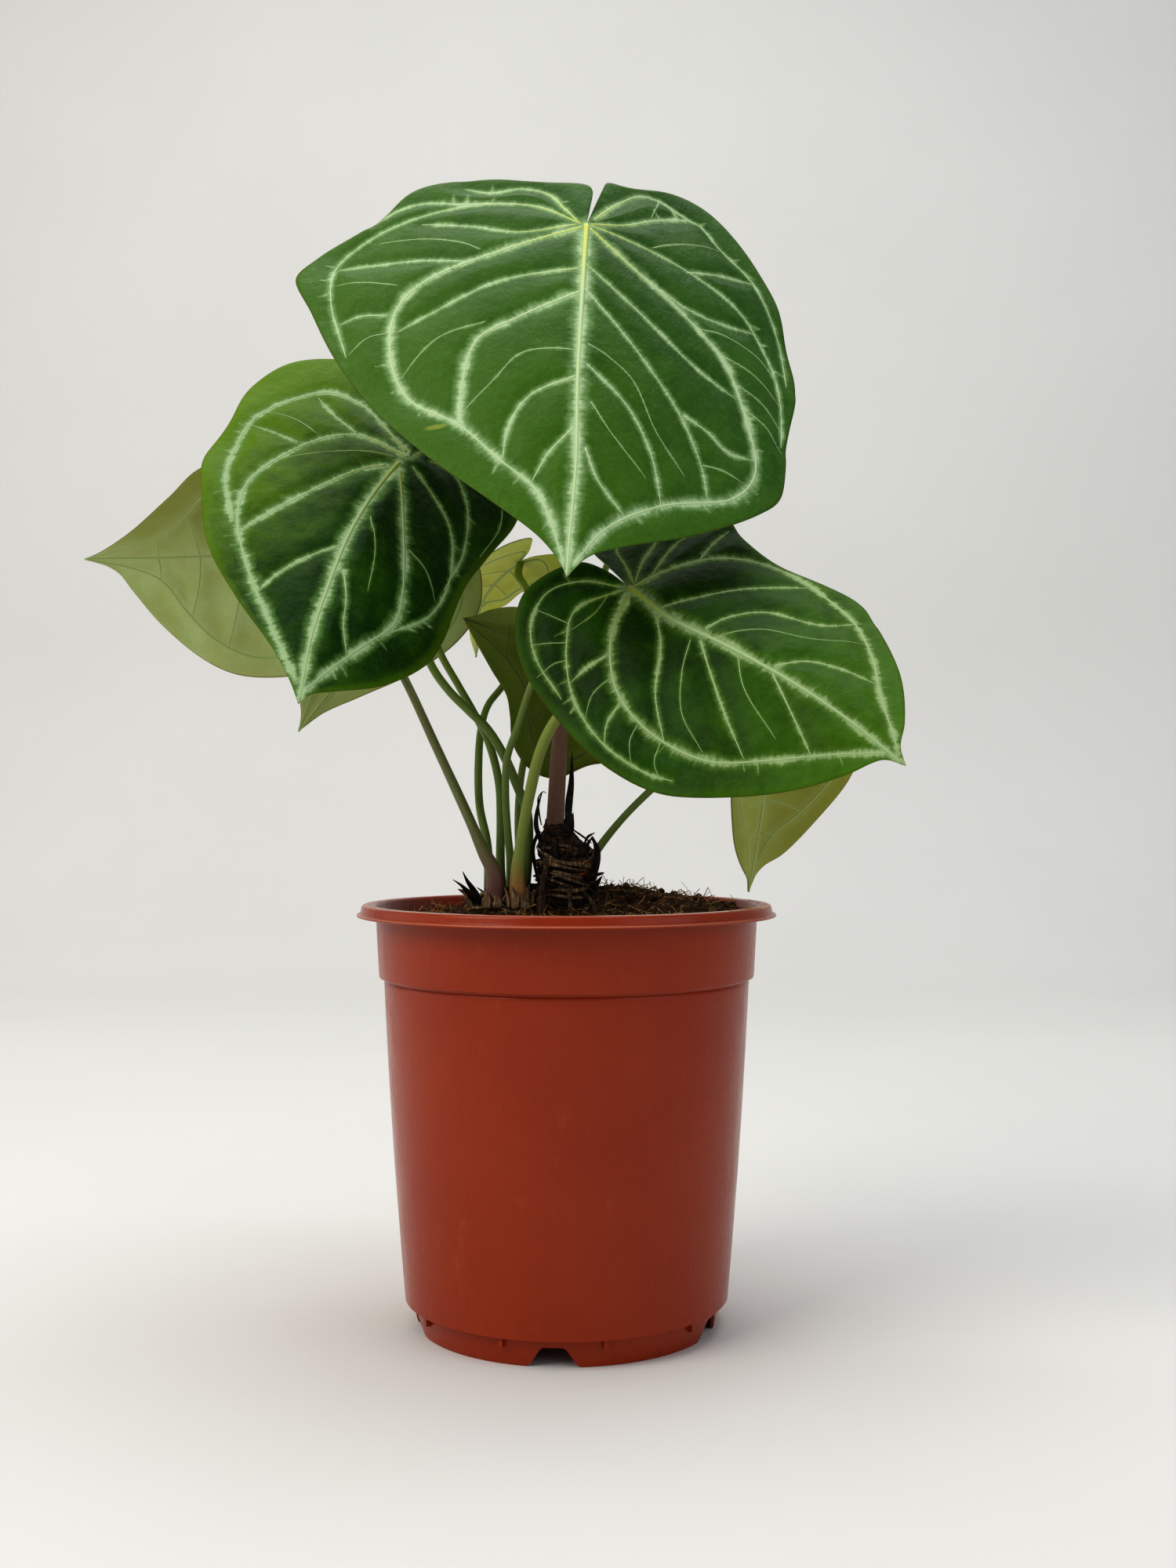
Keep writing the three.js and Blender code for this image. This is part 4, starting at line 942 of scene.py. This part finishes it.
def root(points, radii, seed):
    """A root: a tube whose radius follows its list, with knots and bends by noise."""
    path = spline(points, 1.2)
    knots = sampled(radii, len(path)) * (0.75 + 0.6 * (noise(path, 4, seed) - 0.5))
    path = path + 2.2 * (noise(path, 9, seed + 10) - 0.5)[:, None] * (1, 0.3, 0)
    return tube(path, knots, 14, (0, 1, 0))


# ---------------------------------------------------------------- soil

SOIL_LEVEL = 190
SOIL_HEAPS = [(18, 36, 13, 30), (62, 20, 5, 22), (-30, 2, 6, 24)]      # centre x, y, rise and spread
BED_RADIUS, BED_RINGS, BED_AROUND = 88.8, 100, 280
BED_EDGE, BED_EDGE_TOP = 87, 193           # outside that radius no crumb stands higher than that


def soil_height(x, y):
    """Level of the soil: flat, plus a round heap at each of three places and gentle waves."""
    heaps = sum(rise * np.exp(-((x - cx) ** 2 + (y - cy) ** 2) / (2 * spread ** 2))
                for cx, cy, rise, spread in SOIL_HEAPS)
    return SOIL_LEVEL + heaps + 0.8 * np.sin(x / 7) * np.cos(y / 9)


def soil(mix):
    """The bed: a disc of rings whose height is the soil's level plus crumbs of three sizes, closed down the
    pot's wall and over its floor."""
    turn = circle(BED_AROUND)
    rings = np.linspace(0, BED_RADIUS, BED_RINGS)[:, None]
    x, y = rings * np.cos(turn), rings * np.sin(turn)
    level = soil_height(x, y)
    spot = np.stack([x, y, level], axis=-1)
    level = level + (3.2 * noise(spot, 9, 3) + 2.2 * noise(spot, 4, 4) + 1.6 * noise(spot, 2, 5) - 3.2)
    level = np.where(rings > BED_EDGE, np.minimum(level, BED_EDGE_TOP), level)
    wall = [(body_radius(z) - WALL - 0.5, z) for z in (162, 125, 88, 50, 15.4)]
    down = [turned_points(r, z, turn) for r, z in [(88.6, 184), (87.4, 165.8), *wall, (74, 14.4), (0, 14.4)]]
    shell = np.concatenate([np.stack([x, y, level], axis=-1), down])
    faces = grid_faces(len(shell), BED_AROUND, around=True)[:, ::-1]
    piece("potting_mix", shell.reshape(-1, 3), faces, [mix], "potting_mix", ["soil"])


STRANDS, LUMPS = 1500, 320
LITTER_LIFT, LUMP_LIFT = (0.3, 0.2, 0.93), (0.3, 0.9, 0.2)


def litter(strand):
    """Loose coir on the soil: thin strands that lie, arch or stick up, and lumps, placed by seeded chance."""
    rng = np.random.default_rng(8)
    parts, shade = [], []
    for kind in ["strand"] * STRANDS + ["lump"] * LUMPS:
        radius, turn = 87 * rng.random() ** 0.5, rng.uniform(0, 2 * np.pi)
        x, y = radius * np.cos(turn), radius * np.sin(turn)
        foot = np.array([x, y, soil_height(x, y) + rng.uniform(-1, 1.5)])
        way = rng.normal(size=3) * (1, 1, 0.6)
        way = way / np.linalg.norm(way)
        if kind == "strand":
            long = rng.uniform(4, 18)
            bend = rng.normal(size=3) * 0.2 * long
            path = spline([foot - way * long / 2, foot + bend * 0.5, foot + way * long / 2 + bend * 0.2],
                          long / 5)
            path[:, 2] = np.clip(path[:, 2], soil_height(path[:, 0], path[:, 1]) - 1.5, None)
            part = tube(path, rng.uniform(0.11, 0.28), 3, LITTER_LIFT)
        else:
            size = rng.uniform(0.8, 2.4)
            path = np.linspace(foot - way * size, foot + way * size, 4)
            part = tube(path, size * np.array([0.5, 0.9, 0.8, 0.35]), 6, LUMP_LIFT, 0.8)
        if (np.hypot(part[0][:, 0], part[0][:, 1]) < 88.5).all():
            parts.append(part)
            shade.append(np.full(len(part[0]), rng.random() * (1 if kind == "strand" else 0.5)))
    piece("loose_coir", *together(parts), [strand], "potting_mix", marks={"shade": np.concatenate(shade)})


# ---------------------------------------------------------------- pot

RIM_TOP, RIM_RADIUS, LIP_OUTER, LIP_INNER, MOUTH_RADIUS = 198.5, 100, 98, 96.6, 91.9
FIN_BOTTOM, FIN_TOP, WALL = 193, 194, 1.4
COLLAR_TOP_RADIUS, COLLAR_FOOT_RADIUS, COLLAR_FOOT = 90.9, 89.4, 165.5
BODY_TOP, BODY_TOP_RADIUS, BODY_BOTTOM, BODY_BOTTOM_RADIUS, BODY_BULGE = 162, 87, 13, 76.8, 0.8
FOOT_TOP_RADIUS, FOOT_RADIUS, FLOOR_BOTTOM, FLOOR_TOP = 73.4, 70.5, 12.4, 14
NOTCHES, FIRST_NOTCH, NOTCH_HEIGHT, NOTCH_TOP, NOTCH_FOOT = 5, -94, 9, 8, 24
PEG = (2, 2.6, 5)                          # width, depth, height
PEG_RADIUS, DRAIN_RADIUS, DRAIN_CIRCLE, DRILL = 73.9, 4.5, 50, (8, 20)
POT_AROUND, DRILL_AROUND, FOOT_RINGS, BODY_RINGS = 300, 24, 13, 30
CORNER, GROOVE = 0.5, 0.6                  # mm: the round of each edge, and the groove below the collar
SHARP = 38                                 # degrees: corners over it stay sharp


def body_radius(z):
    """Radius of the body outside: a straight taper plus a slight bulge, a half sine over its height."""
    share = (z - BODY_BOTTOM) / (BODY_TOP - BODY_BOTTOM)
    straight = BODY_BOTTOM_RADIUS + (BODY_TOP_RADIUS - BODY_BOTTOM_RADIUS) * share
    return straight + BODY_BULGE * np.sin(np.pi * share)


def rounded(profile, radius):
    """A profile with each real corner cut to a small arc of up to that radius, by a quadratic curve of 4
    points."""
    profile = np.array(profile, float)
    line = [profile[0]]
    for before, corner, after in zip(profile[:-2], profile[1:-1], profile[2:]):
        back, on = before - corner, after - corner
        if back @ on < -0.996 * np.linalg.norm(back) * np.linalg.norm(on):
            line.append(corner)
            continue
        reach = min(radius, 0.42 * np.linalg.norm(back), 0.42 * np.linalg.norm(on))
        start, end = (corner + way / np.linalg.norm(way) * reach for way in (back, on))
        line += [(1 - t) ** 2 * start + 2 * t * (1 - t) * corner + t * t * end for t in (0, 0.33, 0.67, 1)]
    return np.array([*line, profile[-1]])


def pot_profile():
    """The pot's section, as (radius, height), from the floor's underside round the foot ring, up the outside,
    over the rim and down the inside to the floor's middle. The rows of the foot ring come first, so that they
    can be raised for the notches."""
    heights = np.linspace(BODY_BOTTOM, BODY_TOP, BODY_RINGS)
    outside = [(body_radius(z), z) for z in heights]
    inside = [(body_radius(z) - WALL, z) for z in heights[::-1]]
    upper = rounded([
        (FOOT_TOP_RADIUS, BODY_BOTTOM - 1), (BODY_BOTTOM_RADIUS, BODY_BOTTOM - 0.2), *outside,
        (BODY_TOP_RADIUS - GROOVE, COLLAR_FOOT - 2.4), (BODY_TOP_RADIUS - GROOVE, COLLAR_FOOT - 1.4),
        (COLLAR_FOOT_RADIUS - 0.2, COLLAR_FOOT - 1.2), (COLLAR_FOOT_RADIUS, COLLAR_FOOT - 0.6),
        (COLLAR_TOP_RADIUS, FIN_BOTTOM - 1), (COLLAR_TOP_RADIUS + 1, RIM_TOP - 1.4),
        (LIP_INNER, RIM_TOP - 1.6), (LIP_INNER, FIN_BOTTOM), (RIM_RADIUS, FIN_BOTTOM), (RIM_RADIUS, FIN_TOP),
        (LIP_OUTER + 0.3, FIN_TOP + 0.4), (LIP_OUTER - 0.3, RIM_TOP - 0.9), (LIP_OUTER - 1.2, RIM_TOP),
        (MOUTH_RADIUS, RIM_TOP), (MOUTH_RADIUS - 0.9, RIM_TOP - 1),
        (COLLAR_TOP_RADIUS - WALL, FIN_BOTTOM - 1), (COLLAR_FOOT_RADIUS - WALL, COLLAR_FOOT), *inside,
        (BODY_BOTTOM_RADIUS - WALL, FLOOR_TOP + 1), (BODY_BOTTOM_RADIUS - WALL - 1, FLOOR_TOP),
        (0, FLOOR_TOP)], CORNER)
    foot = np.linspace(0, 1, FOOT_RINGS)
    flare = (FOOT_TOP_RADIUS - FOOT_RADIUS) * foot
    outer = np.stack([FOOT_RADIUS + flare, (BODY_BOTTOM - 1) * foot], axis=1)
    inner = np.stack([FOOT_RADIUS - WALL + flare, FLOOR_BOTTOM * foot], axis=1)
    return np.vstack([[(0, FLOOR_BOTTOM)], inner[::-1], outer[:-1], upper])


def pegs(step):
    """Small boxes on the foot ring, two between each notch and the next, each turned to face outwards."""
    box = np.array([(a, b, c) for c in (-0.5, 0.5) for b in (-0.5, 0.5) for a in (-0.5, 0.5)])
    box = box * (PEG[1], PEG[0], PEG[2]) + (PEG_RADIUS, 0, BODY_BOTTOM - PEG[2] / 2 + 0.4)
    sides = np.array([(0, 2, 3, 1), (4, 5, 7, 6), (0, 1, 5, 4), (2, 6, 7, 3), (0, 4, 6, 2), (1, 3, 7, 5)])
    parts = []
    for place in range(NOTCHES):
        for side in (-0.25, 0.25):
            angle = np.radians(FIRST_NOTCH) + (place + side) * step
            c, s = np.cos(angle), np.sin(angle)
            parts.append((box @ np.array([(c, s, 0), (-s, c, 0), (0, 0, 1)]), sides))
    return parts


def drills(step):
    """An upright rod through the floor half way between each notch and the next."""
    parts = []
    for place in range(NOTCHES):
        angle = np.radians(FIRST_NOTCH) + (place + 0.5) * step
        middle = (DRAIN_CIRCLE * np.cos(angle), DRAIN_CIRCLE * np.sin(angle), 0)
        ends = ((0, DRILL[0]), (DRAIN_RADIUS, DRILL[0]), (DRAIN_RADIUS, DRILL[1]), (0, DRILL[1]))
        rings = [turned_points(radius, height, circle(DRILL_AROUND)) + middle for radius, height in ends]
        parts.append((np.vstack(rings), grid_faces(len(rings), DRILL_AROUND, around=True)))
    return parts


def pot(plastic):
    """The pot: one turned shell whose foot ring stops at the notches, with pegs round it and drilled drain
    holes. A notch's height falls off from its middle to its foot as 3 s squared - 2 s cubed, and a painted
    highlight is marked along the top edges of the fin and the rim."""
    profile = pot_profile()
    turn = np.radians(FIRST_NOTCH) + circle(POT_AROUND)
    step = 2 * np.pi / NOTCHES
    aside = np.abs((turn - np.radians(FIRST_NOTCH) + step / 2) % step - step / 2) * FOOT_RADIUS
    share = np.clip((NOTCH_FOOT / 2 - aside) / ((NOTCH_FOOT - NOTCH_TOP) / 2), 0, 1)
    notch = NOTCH_HEIGHT * (share * share * (3 - 2 * share))
    radius = np.repeat(profile[:, :1], POT_AROUND, axis=1)
    height = np.repeat(profile[:, 1:], POT_AROUND, axis=1)
    foot_rows = slice(1, 2 * FOOT_RINGS)
    raised = np.maximum(height[foot_rows], notch)
    radius[foot_rows] += (raised - height[foot_rows]) * ((FOOT_TOP_RADIUS - FOOT_RADIUS) / (BODY_BOTTOM - 1))
    height[foot_rows] = raised
    shell = turned_points(radius, height, turn)
    parts = [(shell.reshape(-1, 3), grid_faces(len(shell), POT_AROUND, around=True)), *pegs(step)]
    # painted highlight: a thin band at the top edge of the fin and at the top edge of the rim
    wear = np.zeros(sum(len(points) for points, _ in parts))
    wear[:height.size] = np.clip(np.exp(-np.abs(height - FIN_TOP) / 0.5) * (radius > RIM_RADIUS - 1.5)
                                 + np.exp(-np.abs(height - RIM_TOP) / 0.5) * (radius > 95.5), 0, 1).ravel()
    made = piece("nursery_pot", *together(parts), [plastic], "pot_plastic", ["pot"], {"wear": wear},
                 crease=SHARP)
    cutter = piece("drill", *together(drills(step)), [plastic], "pot_plastic")
    cut = made.modifiers.new("drain", "BOOLEAN")
    cut.operation, cut.object = "DIFFERENCE", cutter
    drilled = bpy.data.meshes.new_from_object(made.evaluated_get(bpy.context.evaluated_depsgraph_get()))
    made.modifiers.clear()
    made.data = drilled
    bpy.data.objects.remove(cutter)


# ---------------------------------------------------------------- the plant

upper_tall = leaf_upper_skin("leaf_skin_tall", "#244c0c", "#375f16", "#42680f", "#b6cea2", "#7ea066", 0.14)
upper_left = leaf_upper_skin("leaf_skin_left", "#0a2a00", "#1c4200", "#5c7e00", "#a4bc90", "#5c8240", 0.08)
# The right leaf's skin is a darker copy of the others: painted shade, where the tall leaf shades it
painted_shade_upper_right = leaf_upper_skin("leaf_skin_right_painted_shade", "#122c00", "#204802", "#446c0a", "#9ab07c", "#4e7024", 0.09)
upper_plain = leaf_upper_skin("leaf_skin_plain", "#1f4a0c", "#33641c", "#4a7a20", "#9ab87c", "#5a8442", 0.1)
pale_under = leaf_underside("leaf_underside_pale", "#a9bf80", "#97a555", "#788024", "#b2c28e")
# Copies of the pale underside for leaves seen from below: two are painted lighter and yellower, a painted
# glow of light shining through the blade, and one is painted darker olive, painted shade
painted_glow_under = leaf_underside("leaf_underside_painted_glow", "#8c9640", "#9aa552", "#7c8422", "#a8b070")
painted_bright_glow_under = leaf_underside("leaf_underside_painted_bright_glow", "#c0cc50", "#c8d45c", "#a8b43c", "#ccd488")
painted_shade_under = leaf_underside("leaf_underside_painted_shade", "#4c6404", "#586e08", "#66780c", "#748034")
rib_bright = leaf_rib("rib_bright", "#c3d25c", "#b8d09c")
rib_dark = leaf_rib("rib_dark", "#8a9a34", "#9ab47c")
rib_pale = leaf_rib("rib_pale", "#98a858", "#9aad68")
# a darker olive copy of the underside rib: painted shade
rib_painted_shade = leaf_rib("rib_painted_shade", "#5c662a", "#525e28")
leaf("tall", 1.8, upper_tall, pale_under, rib_bright, rib_pale)
leaf("left", 1.55, upper_left, pale_under, rib_dark, rib_pale)
leaf("right", 1.35, painted_shade_upper_right, pale_under, rib_dark, rib_pale)
for leaf_name, spacing, under, under_rib in [
        ("far_left", 2.6, pale_under, rib_pale), ("under_left", 2.6, pale_under, rib_pale),
        ("back_centre", 2.4, painted_bright_glow_under, rib_pale), ("low_centre", 2.4, painted_shade_under, rib_painted_shade),
        ("low_right", 2.4, painted_glow_under, rib_pale), ("back_right", 2.6, pale_under, rib_pale)]:
    leaf(leaf_name, spacing, upper_plain, under, rib_dark, under_rib)

# A stalk is drawn thinner than its solid by the share slim, for those that look so in the photograph.
green_stalk = stalk_skin("stalk_green", "#5e4c2e", "#667c36", "#8c9c40", 0.08)
brown_stalk = stalk_skin("stalk_brown", "#6e4e3e", "#6a5440", "#8c9c48", 0.6)
purple_stalk = stalk_skin("stalk_purple_foot", "#6c4642", "#646a3c", "#7c8c40", 0.14)
amber_stalk = stalk_skin("stalk_amber_foot", "#9a6a34", "#7e9040", "#8c9c48", 0.16)
for stalk_name, skin, slim in [
        ("tall", brown_stalk, 1), ("far_left", purple_stalk, 1), ("low_centre", amber_stalk, 1),
        ("left", green_stalk, 0.85), ("right", green_stalk, 0.95), ("under_left", green_stalk, 0.85),
        ("back_centre", green_stalk, 0.9), ("low_right", green_stalk, 0.75),
        ("back_right", green_stalk, 0.9)]:
    stalk(stalk_name, skin, slim)

bark = dry_tissue("dry_bark", "#1d140e", "#5a4029", "#6e4826", 1.6)
husk = dry_tissue("dry_husk", "#120d0a", "#30231a", "#4c3826", 1.2)
strip_skin = dry_tissue("dry_strip", "#4a3828", "#a88a68", "#bca080", 1.0)
scale_skin = dry_tissue("dry_scale", "#6e563e", "#b89c76", "#ccb48e", 1.3)
root_skin = dry_tissue("root_skin", "#2c1f16", "#6a5038", "#7a6040", 1.4)
knob_points, knob_faces = turned(KNOB, KNOB_AXIS, 5.0, 1.3, KNOB_LEANS, 20)
patch = np.exp(-((knob_points - ORANGE_PATCH) ** 2).sum(axis=1) / 45)
piece("stem_bark", knob_points, knob_faces, [bark], "stem", ["stem_knob"], {"patch": patch})
piece("shoot_bark", *turned(SHOOT, SHOOT_AXIS, 4.0, 1.2, UPRIGHT, 30), [bark], "stem", ["side_shoot"])
for number, (points, width, out) in enumerate(SHEATHS, 1):
    piece(f"sheath_{number}", *sheath(points, width, out), [husk], "dry_sheath", [f"dry_sheath_{number}"])
side_stalks = [stalk_name for stalk_name in LEAVES if stalk_name != "tall"]
piece("husks", *together(husks(KNOB_AXIS, KNOB, 24, 192, 228, 40) + husks(SHOOT_AXIS, SHOOT, 16, 188, 200, 41)
                         + wrappings(KNOB_AXIS, KNOB, KNOB_LEANS, 40, 190, 232, (0, 1.8), 42)
                         + [wisp(points, radius) for points, radius in WISPS]), [husk], "dry_sheath")
piece("strips", *together(wrappings(KNOB_AXIS, KNOB, KNOB_LEANS, 54, 209, 232, (1, 2.6), 43)
                          + wrappings(KNOB_AXIS, KNOB, KNOB_LEANS, 16, 190, 212, (0.5, 2), 46)),
      [strip_skin], "dry_sheath")
piece("scales", *together(wrappings(SHOOT_AXIS, SHOOT, UPRIGHT, 30, 188, 202, (0.5, 2.5), 44)
                          + husks(SHOOT_AXIS, SHOOT, 50, 186, 196, 47) + foot_scales(side_stalks, 45)),
      [scale_skin], "dry_sheath")
for number, (points, radii) in enumerate(ROOTS, 1):
    piece(f"root_{number}", *root(points, radii, 49 + number), [root_skin], "aerial_root",
          [f"aerial_root_{number}"])
soil(damp_coir("damp_coir"))
litter(loose_coir("loose_coir"))
pot(moulded_polypropylene("moulded_polypropylene"))


# ---------------------------------------------------------------- floor, lights and camera

SHEET_FLAT, SHEET_DROP = 1200, 0.2         # mm: where it starts to curve up, and how far below the pot it is
SHEET_ACROSS = np.linspace(-3500, 3500, 12)


def stage_sheet():
    """A sheet of pale matt paper: a floor that curves up at the back into a wall, swept sideways."""
    line = spline([(-2500, 0), (SHEET_FLAT, 0), (1500, 30), (1750, 150), (1880, 380), (1900, 700),
                   (1900, 3200)], 60)
    line[line[:, 0] < SHEET_FLAT, 1] = 0
    grid = np.stack(np.broadcast_arrays(SHEET_ACROSS, line[:, :1], line[:, 1:] - SHEET_DROP), axis=-1)
    faces = grid_faces(len(line), len(SHEET_ACROSS))[:, ::-1]
    mesh = bpy.data.meshes.new("studio_sheet")
    mesh.from_pydata((grid.reshape(-1, 3) * MM).tolist(), [], faces.tolist())
    mesh.shade_smooth()
    obj = bpy.data.objects.new("studio_sheet", mesh)
    bpy.context.scene.collection.objects.link(obj)
    mesh.materials.append(finish(bare("pale_paper"), "#dad9d6", [((400,), 0.3, 0.7, 0.4, "#e0dfdc")], 0.85,
                                 [((3,), 0.02)], Specular_IOR_Level=0.2))


def lamp(name, place, aim, size, watts, tint):
    """A soft square light of that size, at a place in metres that looks at another: it is tipped by the angle
    from straight down and turned by the bearing."""
    data = bpy.data.lights.new(name, "AREA")
    data.shape, data.size, data.energy, data.color = "SQUARE", size, watts, colour(tint)[:3]
    obj = bpy.data.objects.new(name, data)
    bpy.context.scene.collection.objects.link(obj)
    obj.location = place
    way = np.subtract(aim, place)
    tip, bearing = math.acos(-way[2] / np.linalg.norm(way)), math.atan2(way[1], way[0])
    obj.rotation_euler = (tip, 0, bearing - math.pi / 2)


stage_sheet()
lamp("key", (-1.5, -1.2, 1.9), (0.05, 0, 0.3), 1.4, 30, "#fffaf2")
lamp("low", (-1.9, 0.1, 0.5), (0.05, 0, 0.2), 1.8, 6, "#fffaf2")
lamp("fill", (1.9, -1.4, 1.1), (0.05, 0, 0.3), 1.8, 8, "#f2f6ff")
lamp("top", (0.1, 0.3, 2.3), (0.05, 0, 0.3), 1.8, 24, "#ffffff")

scene = bpy.context.scene
world = bpy.data.worlds.new("soft_room")
world.use_nodes = True
background = world.node_tree.nodes["Background"]
background.inputs["Color"].default_value = colour("#dfe3e6")
background.inputs["Strength"].default_value = 0.46
scene.world = world

camera = bpy.data.cameras.new("photograph_view")
camera.lens, camera.sensor_width, camera.sensor_fit = LENS, FRAME_HEIGHT, "AUTO"
camera_object = bpy.data.objects.new("photograph_view", camera)
scene.collection.objects.link(camera_object)
camera_object.location = (EYE + POT_AXIS) * MM
camera_object.rotation_euler = (math.radians(90 + TILT_UP), 0, 0)
scene.camera = camera_object
scene.view_settings.view_transform = "Standard"
scene.view_settings.look = "Medium High Contrast"
